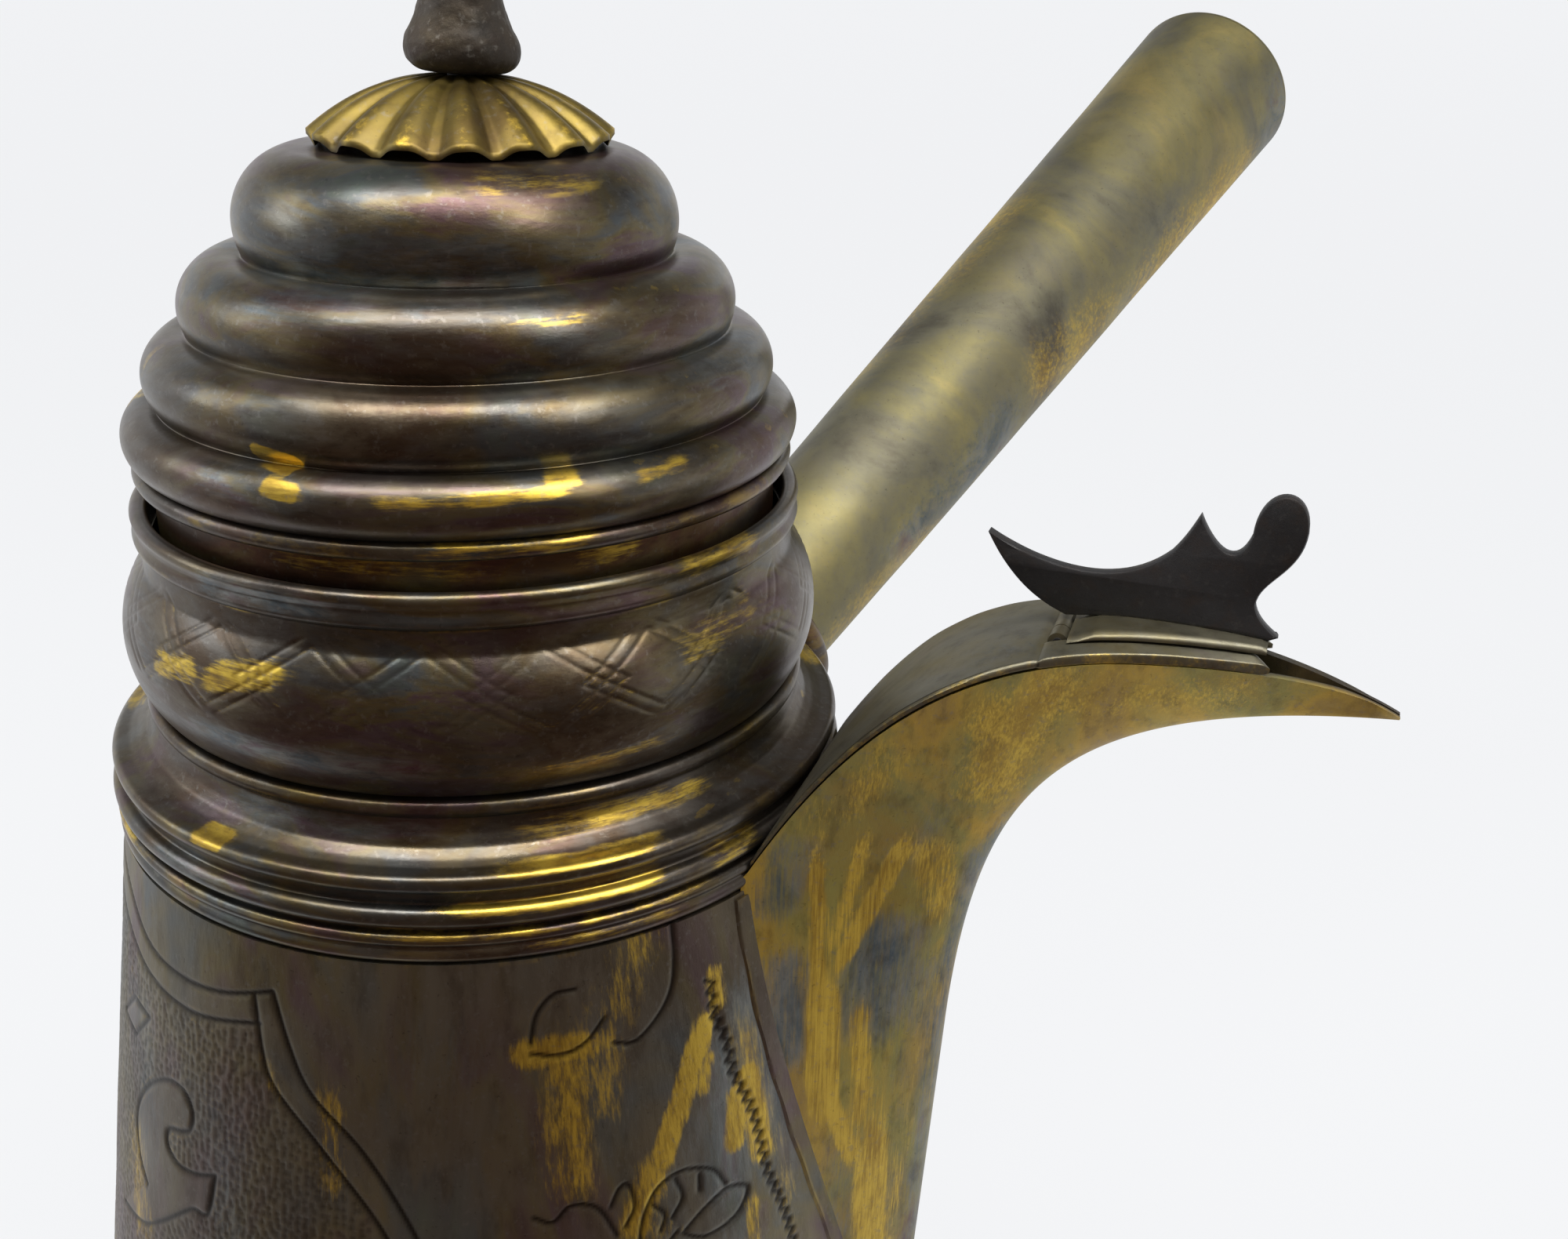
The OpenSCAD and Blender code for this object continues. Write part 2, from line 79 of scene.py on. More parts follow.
BASE_R = 58.5
BODY_H = box_mm("body_shell")[1][2]
TOP_R = 41.0
SHEET = 1.2
GROOVE_Z = box_mm("neck_collar")[0][2]
GROOVE_R = 35.2
COLLAR_R = box_mm("neck_collar")[1][0]
LIP_LOW, LIP_TOP = box_mm("lip_roll")[0][2], box_mm("lip_roll")[1][2]
SKIRT_Z = box_mm("lid_skirt")[0][2]
SKIRT_TOP = box_mm("lid_skirt")[1][2]
SKIRT_R = box_mm("lid_skirt")[1][0]
LID_RINGS = ((15.3, 178.7, 7.4), (23.6, 170.6, 5.2), (28.75, 164.0, 4.2), (32.5, 158.1, 3.1))
CROWN_Z = LID_RINGS[0][1] + LID_RINGS[0][2]
TIP_X, TIP_Z = 99.0, 139.0
BEAK_SLOPE = np.tan(np.radians(14.2))
SPOUT_FOOT = np.array([54.1, 28.5])
FOLD_LOW = np.array([57.4, 94.0])
FOLD_CURVE = np.array([FOLD_LOW, [59.4, 122.9], [65.7, 135.4], [TIP_X, TIP_Z - 0.5]])
EDGE_LOW = np.array([[37.9, 116.0], [46.5, 131.4], [56.0, 142.8], [75.0, 142.8]])
EDGE_HIGH = np.array([[75.0, 142.8], [83.0, 142.9], [92.5, 142.3], [TIP_X, TIP_Z]])
HINGE_X = frame["joints"][0]["pos_m"][0] / MM
# The handle's bearing and rise, where its line leaves the axis, and its radius at two places along it
HANDLE_TURN, HANDLE_RISE, HANDLE_Z = 70.0, 26.5, 92.9
HANDLE_ROOT, HANDLE_ROOT_R = 60.0, 11.1
HANDLE_END, HANDLE_END_R = 200.4, 15.0
FINIAL_BEARING, FINIAL_SHIFT, FINIAL_LEAN = 30.0, 0.8, 2.5
FLUTES = 16


def cone_r(z):
    """Radius of the body's outside at a height."""
    return BASE_R - (BASE_R - TOP_R) / BODY_H * z


def bez(points, t):
    """Points on a cubic curve at each t."""
    t = np.asarray(t, float)[..., None]
    p = np.asarray(points, float)
    return (1 - t) ** 3 * p[0] + 3 * t * (1 - t) ** 2 * p[1] + 3 * t * t * (1 - t) * p[2] + t ** 3 * p[3]


# ---- Mesh helpers ----


def waves(seed, *coords, size, octaves=3):
    """Smooth seeded noise, about -1 to 1, made of crossing sine waves; size is the longest wave."""
    draw = np.random.default_rng(seed)
    total = 0.0
    for octave in range(octaves):
        for _ in range(3):
            direction = draw.normal(size=len(coords))
            direction *= 2 * np.pi * 2 ** octave / size / np.linalg.norm(direction)
            phase = draw.uniform(0, 2 * np.pi)
            total = total + np.sin(sum(c * k for c, k in zip(coords, direction)) + phase) / 2 ** octave
    return total / 4


def signed_volume(points, quads):
    """Volume inside a closed mesh, below 0 if its faces are wound inwards."""
    a, b, c, d = (points[quads[:, k]] for k in range(4))
    return float(np.sum(a * np.cross(b, c)) + np.sum(a * np.cross(c, d))) / 6


def quad_mesh(name, points, quads, sharp=40.0, attributes=None):
    """A mesh object from points in millimetres and quads, wound outwards."""
    quads = np.asarray(quads)
    if signed_volume(points - points.mean(0), quads) < 0:
        quads = quads[:, ::-1]
    mesh = bpy.data.meshes.new(name)
    mesh.vertices.add(len(points))
    mesh.vertices.foreach_set("co", (points * MM).astype(np.float32).ravel())
    mesh.loops.add(quads.size)
    mesh.loops.foreach_set("vertex_index", quads.astype(np.int32).ravel())
    mesh.polygons.add(len(quads))
    mesh.polygons.foreach_set("loop_start", np.arange(0, quads.size, 4, dtype=np.int32))
    mesh.update(calc_edges=True)
    mesh.validate()
    mesh.polygons.foreach_set("use_smooth", np.ones(len(quads), bool))
    mesh.set_sharp_from_angle(angle=np.radians(sharp))
    for key, values in (attributes or {}).items():
        layer = mesh.attributes.new(key, "FLOAT", "POINT")
        layer.data.foreach_set("value", np.asarray(values, np.float32).ravel())
    piece = bpy.data.objects.new(name, mesh)
    bpy.context.scene.collection.objects.link(piece)
    return piece


def grid_quads(rows, cols, wrap_rows=False, wrap_cols=False):
    """The quads of a grid of points, which may close on itself in either direction."""
    i = np.arange(rows if wrap_rows else rows - 1)[:, None]
    j = np.arange(cols if wrap_cols else cols - 1)[None, :]
    i2, j2 = (i + 1) % rows, (j + 1) % cols
    corners = (i * cols + j, i * cols + j2, i2 * cols + j2, i2 * cols + j)
    return np.stack([np.broadcast_to(c, (i.size, j.size)) for c in corners], -1).reshape(-1, 4)


def ring_mesh(name, grid, **options):
    """A mesh from a grid that closes on itself both ways, as a ring's skin does."""
    rows, cols = grid.shape[:2]
    return quad_mesh(name, grid.reshape(-1, 3), grid_quads(rows, cols, True, True), **options)


def shell_mesh(name, top, bottom, attributes=None, under=None, **options):
    """A closed sheet between two grids with the same rows and columns.

    The attributes hold on both sides, except where under gives other values for the bottom.
    """
    rows, cols = top.shape[:2]
    upper = grid_quads(rows, cols)
    lower = upper[:, ::-1] + rows * cols
    rim = np.concatenate([
        np.arange(cols), np.arange(1, rows) * cols + cols - 1,
        (rows - 1) * cols + np.arange(cols - 2, -1, -1), np.arange(rows - 2, 0, -1) * cols])
    after = np.roll(rim, -1)
    sides = np.stack([after, rim, rim + rows * cols, after + rows * cols], -1)
    points = np.concatenate([top.reshape(-1, 3), bottom.reshape(-1, 3)])
    lower_side = {**(attributes or {}), **(under or {})}
    doubled = {k: np.concatenate([v.ravel(), lower_side[k].ravel()]) for k, v in (attributes or {}).items()}
    return quad_mesh(name, points, np.concatenate([upper, lower, sides]), attributes=doubled, **options)


def arc(centre, radius, start, end, steps=16):
    """Points on an arc in the (distance from the axis, height) plane; angles in degrees."""
    a = np.radians(np.linspace(start, end, steps))
    return np.stack([centre[0] + radius * np.cos(a), centre[1] + radius * np.sin(a)], -1)


def resample(points, spacing, closed=True):
    """The same outline with evenly spaced points."""
    points = np.asarray(points, float)
    loop = np.vstack([points, points[:1]]) if closed else points
    run = np.concatenate([[0], np.cumsum(np.linalg.norm(np.diff(loop, axis=0), axis=1))])
    count = max(int(round(run[-1] / spacing)), 3)
    at = np.linspace(0, run[-1], count, endpoint=not closed)
    return np.stack([np.interp(at, run, loop[:, k]) for k in range(2)], -1)


def soften(points, passes):
    """Rounds the corners of a closed outline a little."""
    for _ in range(passes):
        points = (np.roll(points, 1, 0) + 2 * points + np.roll(points, -1, 0)) / 4
    return points


def lathe_grid(outline, columns, shape=None):
    """Grid of an outline turned round the axis; shape(angle, r, z) adds to the radius."""
    a = np.linspace(0, 2 * np.pi, columns, endpoint=False)[None, :]
    r = np.repeat(outline[:, :1], columns, 1)
    z = np.repeat(outline[:, 1:], columns, 1)
    if shape is not None:
        r = r + shape(np.broadcast_to(a, r.shape), r, z)
    return np.stack([r * np.cos(a), r * np.sin(a), z], -1)


def hand_made(seed, depth=0.12, size=45.0):
    """Slight waviness of hand-raised metal, for lathe_grid()."""
    return lambda a, r, z: depth * waves(seed, r * np.cos(a), r * np.sin(a), z, size=size)


def polar(grid):
    """Angle in degrees and distance from the axis of a grid's points."""
    return np.degrees(np.arctan2(grid[..., 1], grid[..., 0])), np.hypot(grid[..., 0], grid[..., 1])


def leaned(points, tilt, turn, shift=0.0, lift=0.0):
    """Tips points standing on the z axis over towards a bearing; angles in degrees."""
    tilt, turn = np.radians(tilt), np.radians(turn)
    x = points[..., 0] * np.cos(tilt) + points[..., 2] * np.sin(tilt) + shift
    y = points[..., 1]
    z = -points[..., 0] * np.sin(tilt) + points[..., 2] * np.cos(tilt) + lift
    return np.stack([x * np.cos(turn) - y * np.sin(turn), x * np.sin(turn) + y * np.cos(turn), z], -1)


def to_segment(u, v, start, end):
    """Distance of points from a segment, and how far along it they are, from 0 to 1."""
    (u0, v0), (u1, v1) = start, end
    du, dv = u1 - u0, v1 - v0
    t = np.clip(((u - u0) * du + (v - v0) * dv) / max(du * du + dv * dv, 1e-9), 0, 1)
    return np.hypot(u - u0 - t * du, v - v0 - t * dv), t


# ---- Shader helpers ----


class Shader:
    """A node material built in code. Its coordinates are millimetres in the frame."""

    def __init__(self, name):
        self.material = bpy.data.materials.new(name)
        self.material.use_nodes = True
        self.tree = self.material.node_tree
        self.tree.nodes.clear()
        self.bsdf = self.tree.nodes.new("ShaderNodeBsdfPrincipled")
        output = self.tree.nodes.new("ShaderNodeOutputMaterial")
        self.tree.links.new(self.bsdf.outputs[0], output.inputs[0])
        coordinates = self.tree.nodes.new("ShaderNodeTexCoord")
        self.mm = self.scaled(coordinates.outputs["Object"], (1 / MM,) * 3)

    def put(self, socket, value):
        """Links a node's output to a socket, or sets the socket's own value."""
        if isinstance(value, bpy.types.NodeSocket):
            self.tree.links.new(value, socket)
        elif socket.type == "RGBA" and len(value) == 3:
            socket.default_value = (*value, 1)
        else:
            socket.default_value = value

    def add(self, kind, inputs, **settings):
        """A new node with its inputs and settings."""
        item = self.tree.nodes.new(kind)
        for key, value in settings.items():
            setattr(item, key, value)
        for key, value in inputs.items():
            self.put(item.inputs[key], value)
        return item

    def scaled(self, vector, factors):
        return self.add("ShaderNodeVectorMath", {0: vector, 1: factors}, operation="MULTIPLY").outputs[0]

    def noise(self, size, stretch=(1, 1, 1), detail=5.0, roughness=0.6, warp=0.0, seed=0.0):
        """Noise from 0 to 1 whose features are about size millimetres."""
        factors = tuple(1 / (size * s) for s in stretch)
        spread = self.scaled(self.mm, factors)
        moved = self.add("ShaderNodeVectorMath", {0: spread, 1: (seed, seed * 1.7, seed * 0.6)}).outputs[0]
        inputs = {"Vector": moved, "Scale": 1.0, "Detail": detail, "Roughness": roughness,
                  "Distortion": warp}
        return self.add("ShaderNodeTexNoise", inputs).outputs[0]

    def attribute(self, name):
        """The value painted on the mesh under this name, or 0 on a mesh without it."""
        return self.add("ShaderNodeAttribute", {}, attribute_name=name).outputs["Fac"]

    def math(self, operation, a, b):
        return self.add("ShaderNodeMath", {0: a, 1: b}, operation=operation).outputs[0]

    def band(self, value, low, high):
        """0 below low, 1 above high, smooth between."""
        inputs = {"Value": value, "From Min": low, "From Max": high}
        return self.add("ShaderNodeMapRange", inputs, interpolation_type="SMOOTHSTEP").outputs[0]

    def ramp(self, value, stops):
        """A colour read from stops of (position, colour)."""
        item = self.add("ShaderNodeValToRGB", {"Fac": value})
        elements = item.color_ramp.elements
        while len(elements) < len(stops):
            elements.new(0.5)
        for element, (position, colour) in zip(elements, stops):
            element.position = position
            element.color = (*colour, 1)
        return item.outputs[0]

    def mix(self, amount, a, b):
        item = self.add("ShaderNodeMix", {}, data_type="RGBA")
        self.put(item.inputs["Factor"], amount)
        self.put(item.inputs["A"], a)
        self.put(item.inputs["B"], b)
        return item.outputs["Result"]

    def bump(self, height, depth):
        """Bump of a height from 0 to 1, depth millimetres deep."""
        inputs = {"Height": height, "Distance": depth * MM, "Strength": 1.0}
        return self.add("ShaderNodeBump", inputs).outputs[0]

    def edges(self, low, high):
        """1 on worn convex edges, 0 elsewhere."""
        return self.band(self.add("ShaderNodeNewGeometry", {}).outputs["Pointiness"], low, high)

    def finish(self, colour, roughness, metallic=1.0, normal=None, coat=0.0):
        self.put(self.bsdf.inputs["Base Color"], colour)
        self.put(self.bsdf.inputs["Roughness"], roughness)
        self.bsdf.inputs["Metallic"].default_value = metallic
        self.bsdf.inputs["Coat Weight"].default_value = coat
        self.bsdf.inputs["Coat Roughness"].default_value = 0.3
        if normal is not None:
            self.put(self.bsdf.inputs["Normal"], normal)
        return self.material


# Linear colours of the metal in its different states
BROWN = (0.030, 0.018, 0.011)
ASH = (0.16, 0.15, 0.135)
UMBER = (0.085, 0.040, 0.020)
OLIVE = (0.15, 0.12, 0.045)
BRASS = (0.56, 0.39, 0.058)
OCHRE = (0.28, 0.175, 0.028)
VIOLET = (0.11, 0.060, 0.085)
BLUE = (0.070, 0.095, 0.112)
TEAL = (0.080, 0.125, 0.105)
STEEL = (0.17, 0.18, 0.175)
# Near black: dirt, dark specks, and painted shade inside the spout and under the rosette
SOOT_AND_SHADE = (0.010, 0.0075, 0.006)


def patina(name, stops, streaks, wear_size, tint=0.35, rough=(0.24, 0.42), grain=0.02, wear_gain=0.0,
           coat=0.08, metallic=0.92, softness=0.28, strokes=(1, 1, 1), dirt=0.4, flecks=0.35):
    """Dark patinated brass: mottled tones, iridescent tints, and brass where it is rubbed.

    The mesh attributes wear and cool say where it is rubbed and where it is blue-grey. The third
    attribute darkens it towards near black: dirt in the engraving, painted shade inside the spout,
    along its far rim at the beak and under the rosette, and the finial's darker foot; a mesh without
    them counts as 0 everywhere.
    """
    s = Shader(name)
    mottle = s.noise(26, streaks, detail=7, roughness=0.62, warp=0.6)
    colour = s.ramp(mottle, stops)
    hue = s.noise(17, streaks, detail=4, warp=0.8, seed=4)
    film = s.ramp(hue, ((0.30, UMBER), (0.42, VIOLET), (0.50, OLIVE), (0.60, BLUE), (0.72, TEAL)))
    where = s.band(s.noise(30, detail=3, seed=9), 0.38, 0.66)
    colour = s.mix(s.math("MULTIPLY", where, tint), colour, film)
    brush = s.math("SUBTRACT", s.noise(0.8, strokes, detail=5, roughness=0.7, seed=16), 0.5)
    blotch = s.math("SUBTRACT", s.noise(wear_size, streaks, detail=6, roughness=0.68, seed=6), 0.5)

    def worn(painted, low, high, ragged):
        """Painted amount from 0 to 1, with brushed and blotchy edges."""
        rough_edge = s.math("ADD", s.math("MULTIPLY", brush, ragged), s.math("MULTIPLY", blotch, 1.6))
        total = s.math("ADD", painted, rough_edge)
        return s.math("MULTIPLY", s.band(total, low, high), s.band(painted, 0.0, 0.6))

    cool_tone = s.ramp(s.noise(7, streaks, detail=5, seed=14, warp=0.5),
                       ((0.30, VIOLET), (0.45, STEEL), (0.58, BLUE), (0.70, ASH)))
    cool = worn(s.attribute("cool"), 0.15, 1.2, 1.3)
    colour = s.mix(cool, colour, cool_tone)
    grime = s.noise(2.2, streaks, detail=5, seed=2)
    colour = s.mix(s.math("MULTIPLY", s.band(grime, 0.46, 0.75), dirt), colour, BROWN)
    wear = worn(s.attribute("wear"), 0.5 - softness, 0.5 + softness, 1.4)
    if wear_gain:
        edge = s.math("MULTIPLY", s.edges(0.505, 0.53), s.band(blotch, 0.0, 0.14))
        wear = s.math("MAXIMUM", wear, s.math("MULTIPLY", edge, wear_gain))
    shade = s.math("ADD", s.noise(5, streaks, detail=5, seed=3), brush)
    colour = s.mix(wear, colour, s.mix(s.band(shade, 0.25, 0.7), OCHRE, BRASS))
    specks = s.band(s.noise(0.55, detail=2, seed=20), 0.66, 0.74)
    colour = s.mix(s.math("MULTIPLY", specks, 0.3), colour, SOOT_AND_SHADE)
    pale = s.band(s.noise(0.75, detail=3, seed=21), 0.56, 0.72)
    colour = s.mix(s.math("MULTIPLY", pale, flecks), colour, ASH)
    # Darkening towards near black: dirt in the engraving, and painted shade on the spout and the rosette
    colour = s.mix(s.math("MULTIPLY", s.attribute("ink"), 0.92), colour, SOOT_AND_SHADE)
    lines = s.noise(1.1, streaks, detail=5, roughness=0.7, seed=12)
    normal = s.bump(lines, grain)
    low, high = rough
    gloss = s.add("ShaderNodeMapRange", {"Value": s.noise(9, streaks, seed=8), "From Min": 0.3,
                                         "From Max": 0.7, "To Min": low, "To Max": high}).outputs[0]
    return s.finish(colour, gloss, metallic, normal, coat=coat)


# How far the mottling is drawn out along x, y and z
ROUND = (1, 1, 0.35)
DOWN = (1, 1, 3.2)
EVEN = (1, 1, 1)
DARK_TONES = ((0.30, BROWN), (0.44, (0.078, 0.068, 0.058)), (0.52, (0.060, 0.040, 0.024)),
              (0.62, (0.11, 0.09, 0.062)), (0.74, ASH))
materials = {
    "body_brass": patina("body_brass", ((0.30, (0.050, 0.036, 0.024)), (0.44, (0.105, 0.088, 0.064)),
                                        (0.55, (0.135, 0.118, 0.09)), (0.66, (0.095, 0.075, 0.036)),
                                        (0.76, OLIVE)), DOWN, 6, tint=0.6,
                         rough=(0.38, 0.54), grain=0.06, wear_gain=0.25, strokes=(0.6, 0.6, 9)),
    "spun_brass": patina("spun_brass", DARK_TONES, ROUND, 8, tint=0.55, wear_gain=0.35, rough=(0.27, 0.4),
                         strokes=(5, 5, 0.5)),
    "worn_brass": patina("worn_brass", ((0.3, BROWN), (0.48, UMBER), (0.62, OLIVE), (0.74, OCHRE)),
                         ROUND, 8, rough=(0.32, 0.48), wear_gain=0.4, strokes=(5, 5, 0.5)),
    "spout_brass": patina("spout_brass", ((0.32, (0.28, 0.19, 0.04)), (0.44, (0.27, 0.235, 0.065)),
                                          (0.54, (0.44, 0.29, 0.045)), (0.62, (0.30, 0.20, 0.06)),
                                          (0.72, (0.48, 0.33, 0.06))),
                          (0.8, 0.8, 1.8), 6, tint=0.2, rough=(0.4, 0.54), grain=0.06,
                          metallic=0.72, strokes=(0.32, 0.32, 11)),
    "spout_top_brass": patina("spout_top_brass", ((0.3, (0.085, 0.078, 0.062)), (0.5, (0.15, 0.14, 0.10)),
                                                  (0.66, OLIVE)), EVEN, 9, tint=0.12,
                              rough=(0.42, 0.56), wear_gain=0.08),
    "handle_brass": patina("handle_brass", ((0.30, (0.075, 0.068, 0.055)), (0.42, (0.16, 0.15, 0.105)),
                                            (0.54, (0.22, 0.195, 0.095)), (0.66, (0.32, 0.26, 0.10))),
                           EVEN, 16, tint=0.12, rough=(0.5, 0.62), softness=0.5, dirt=0.12),
    "rosette_brass": patina("rosette_brass", ((0.34, (0.09, 0.060, 0.015)), (0.5, (0.20, 0.145, 0.030)),
                                              (0.66, (0.13, 0.095, 0.02))),
                            EVEN, 4, tint=0.1, rough=(0.42, 0.54), grain=0.03, wear_gain=0.3),
    "cast_bronze": patina("cast_bronze", ((0.3, SOOT_AND_SHADE), (0.5, (0.040, 0.029, 0.019)),
                                          (0.7, (0.06, 0.048, 0.034))),
                          EVEN, 4, tint=0.1, rough=(0.55, 0.75), grain=0.12, metallic=0.7),
    "dark_iron": patina("dark_iron", ((0.3, (0.013, 0.013, 0.014)), (0.7, (0.030, 0.029, 0.031))),
                        EVEN, 4, tint=0.05, rough=(0.45, 0.62), grain=0.05, metallic=0.5, flecks=0.06),
}


def place(piece, body, slot, *nodes):
    """Gives a piece its body and finish, and hides the CAD nodes it stands for."""
    piece.data.materials.append(materials[slot])
    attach(piece, body)
    if nodes:
        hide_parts(*nodes)
    return piece


def marks(u, v, strokes):
    """Paint from 0 to 1: each stroke runs from one point to another with a width and a strength.

    A narrow stroke fades towards its ends; a broad one is a soft patch.
    """
    total = np.zeros(np.shape(u))
    for u0, v0, u1, v1, width, strength in strokes:
        gap, t = to_segment(u, v, (u0, v0), (u1, v1))
        narrow = width < 0.2 * np.hypot(u1 - u0, v1 - v0)
        fade = np.clip(4 * np.minimum(t, 1 - t) + 0.3, 0, 1) if narrow else 1.0
        total = np.maximum(total, strength * fade * np.clip(1 - (gap / (1.3 * width)) ** 2, 0, 1))
    return total


# ---- Engraving ----

# The radius at which punched dots are laid out, and the cells before their jitter repeats
STIPPLE_R = 50
JITTER_CELLS = 512


def through(points, steps=10):
    """A smooth curve through a few points."""
    p = np.asarray(points, float)
    padded = np.vstack([2 * p[0] - p[1], p, 2 * p[-1] - p[-2]])
    t = np.linspace(0, 1, steps, endpoint=False)[:, None]
    runs = []
    for a, b, c, d in zip(padded, padded[1:], padded[2:], padded[3:]):
        runs.append(0.5 * (2 * b + (c - a) * t + (2 * a - 5 * b + 4 * c - d) * t ** 2
                           + (3 * b - a - 3 * c + d) * t ** 3))
    return np.vstack([*runs, p[-1:]])


class Engraver:
    """Cuts lines into a wall of revolution, given as angles and heights of its points."""

    def __init__(self, angle, z, radius_at):
        self.angle, self.z, self.radius_at = angle, z, radius_at
        self.radius = radius_at(z)
        self.cut = np.zeros(angle.shape)

    def near(self, line, reach):
        """The points close to a line of (angle, height) points, and their distance from it."""
        low, high = line.min(0), line.max(0)
        spare = np.degrees(reach / self.radius)
        picked = ((self.angle > low[0] - spare) & (self.angle < high[0] + spare)
                  & (self.z > low[1] - reach) & (self.z < high[1] + reach))
        middle = line[:, 0].mean()
        u = np.radians(self.angle[picked] - middle) * self.radius[picked]
        v = self.z[picked]
        w = np.stack([np.radians(line[:, 0] - middle) * self.radius_at(line[:, 1]), line[:, 1]], -1)
        gap = np.full(u.shape, np.inf)
        for start, end in zip(w, w[1:]):
            gap = np.minimum(gap, to_segment(u, v, start, end)[0])
        return picked, gap

    def line(self, points, width=0.34, depth=1.0, smooth=True):
        """A groove along a line; a smooth one curves through the points."""
        path = through(points) if smooth else np.asarray(points, float)
        picked, gap = self.near(path, 3 * width)
        self.cut[picked] = np.maximum(self.cut[picked], depth * np.exp(-(gap / width) ** 2))

    def zigzag(self, points, swing, pitch, width=0.3):
        """A line walked with a rocking graver, which leaves a small zigzag."""
        path = through(points, 24)
        run = np.radians(np.diff(path[:, 0])) * self.radius_at(path[1:, 1])
        along = np.concatenate([[0], np.cumsum(np.hypot(run, np.diff(path[:, 1])))])
        at = np.arange(0, along[-1], pitch / 2)
        a, z = (np.interp(at, along, path[:, k]) for k in (0, 1))
        side = np.where(np.arange(len(at)) % 2, 1, -1) * swing
        self.line(np.stack([a + np.degrees(side / self.radius_at(z)), z], -1), width, smooth=False)

    def inside(self, outline):
        """Which points lie inside a closed outline of (angle, height) points."""
        found = np.zeros(self.angle.shape, bool)
        for (a0, z0), (a1, z1) in zip(outline, np.roll(outline, -1, 0)):
            crosses = (self.z < z0) != (self.z < z1)
            if z1 != z0:
                found ^= crosses & (self.angle < a0 + (self.z - z0) / (z1 - z0) * (a1 - a0))
        return found

    def stipple(self, where, pitch=0.95, depth=0.5, seed=1):
        """Punched dots, one to each cell of a jittered grid."""
        u, v = np.radians(self.angle) * STIPPLE_R / pitch, self.z / pitch
        cell_u, cell_v = np.floor(u).astype(int), np.floor(v).astype(int)
        draw = np.random.default_rng(seed).uniform(0.15, 0.85, (2, JITTER_CELLS, JITTER_CELLS))
        gap = np.full(u.shape, np.inf)
        for du in (-1, 0, 1):
            for dv in (-1, 0, 1):
                i, j = (cell_u + du) % JITTER_CELLS, (cell_v + dv) % JITTER_CELLS
                gap = np.minimum(gap, np.hypot(u - cell_u - du - draw[0, i, j],
                                               v - cell_v - dv - draw[1, i, j]))
        dots = depth * np.clip(1 - gap / 0.48, 0, 1) ** 0.7
        self.cut = np.maximum(self.cut, np.where(where, dots, 0))


# ---- Body ----

CARTOUCHE_MIDDLE = -139.0
BACK_CARTOUCHE_MIDDLE, BACK_CARTOUCHE_STRETCH = 112.0, 0.54
# The lower scrolls are the upper ones turned over: their heights add up to this
SCROLL_HEIGHTS = 118
# The right half of the cartouche's border, from its top middle to its foot
CARTOUCHE_ARCH = ((-139, 112.8), (-129.3, 110.2), (-120, 107.2), (-111.4, 106.6), (-102, 107.4),
                  (-92.5, 109.6))
CARTOUCHE_SIDE = ((-92.5, 109.6), (-90, 104), (-86.9, 99.4), (-79.6, 93.7), (-73.2, 85), (-68, 73),
                  (-67, 58), (-74, 44), (-86, 33), (-99, 27), (-112, 17), (-126, 11), (-139, 9))
CARTOUCHE_ARCH_IN = ((-139, 108.2), (-130, 106), (-119.7, 103.7), (-107.7, 103.4), (-94.8, 105.6))
CARTOUCHE_SIDE_IN = ((-95.7, 108.7), (-94.3, 102.4), (-92.3, 98.9), (-85.2, 93.2), (-77, 84.6),
                     (-71.6, 72.5), (-70.8, 58.5), (-77, 46.5), (-88.5, 36), (-100.5, 30), (-113, 20.5),
                     (-127, 14.5), (-139, 12.5))
SCROLL = ((-119.4, 77.5), (-122.6, 80.2), (-123.6, 85), (-119.9, 89.7), (-114.4, 93), (-109.9, 93.6),
          (-107.6, 91.8), (-108, 89.5), (-110.1, 88.4))
SCROLL_TAIL = ((-109.8, 88.5), (-113.2, 87.4), (-113.5, 85.4), (-110.9, 84.1), (-106.9, 84.5),
               (-102.8, 85.8))
SCROLL_END = ((-102.8, 85.8), (-104.2, 80.7), (-107, 80.1), (-109, 79), (-115.3, 74.7), (-120.8, 71.6),
              (-129, 69.6))
LOZENGE = ((-131.5, 94.2), (-125.8, 98.3), (-119.5, 98.4), (-125, 94), (-131.5, 94.2))


def mirrored(points, middle):
    """The same figure on the other side of its middle angle."""
    return [(2 * middle - a, z) for a, z in points]


def moved(points, turn, stretch, middle):
    """The same figure about another middle angle, narrowed or widened."""
    return [(turn + (a - middle) * stretch, z) for a, z in points]


def cartouche(tool, middle, stretch):
    """The lobed double border with its matted ground, scrolls and lozenges."""
    def at(points):
        return moved(points, middle, stretch, CARTOUCHE_MIDDLE)

    def both_sides(figure, **options):
        tool.line(at(figure), **options)
        tool.line(mirrored(at(figure), middle), **options)

    for figure in (CARTOUCHE_ARCH, CARTOUCHE_SIDE, CARTOUCHE_ARCH_IN, CARTOUCHE_SIDE_IN):
        both_sides(figure)
    for figure in (SCROLL, SCROLL_TAIL, SCROLL_END):
        both_sides(figure)
        both_sides([(a, SCROLL_HEIGHTS - z) for a, z in figure])
    both_sides(LOZENGE, smooth=False)
    border = np.vstack([through(at(CARTOUCHE_ARCH_IN)), through(at(CARTOUCHE_SIDE_IN))])
    whole = np.vstack([border, np.array(mirrored(border, middle))[::-1]])
    ground = tool.inside(whole)
    leaf = np.vstack([through(at(SCROLL)), through(at(SCROLL_TAIL)), through(at(SCROLL_END))])
    for figure in (leaf, np.array(mirrored(leaf, middle)), np.array(at(LOZENGE))):
        ground &= ~tool.inside(figure)
    tool.stipple(ground)


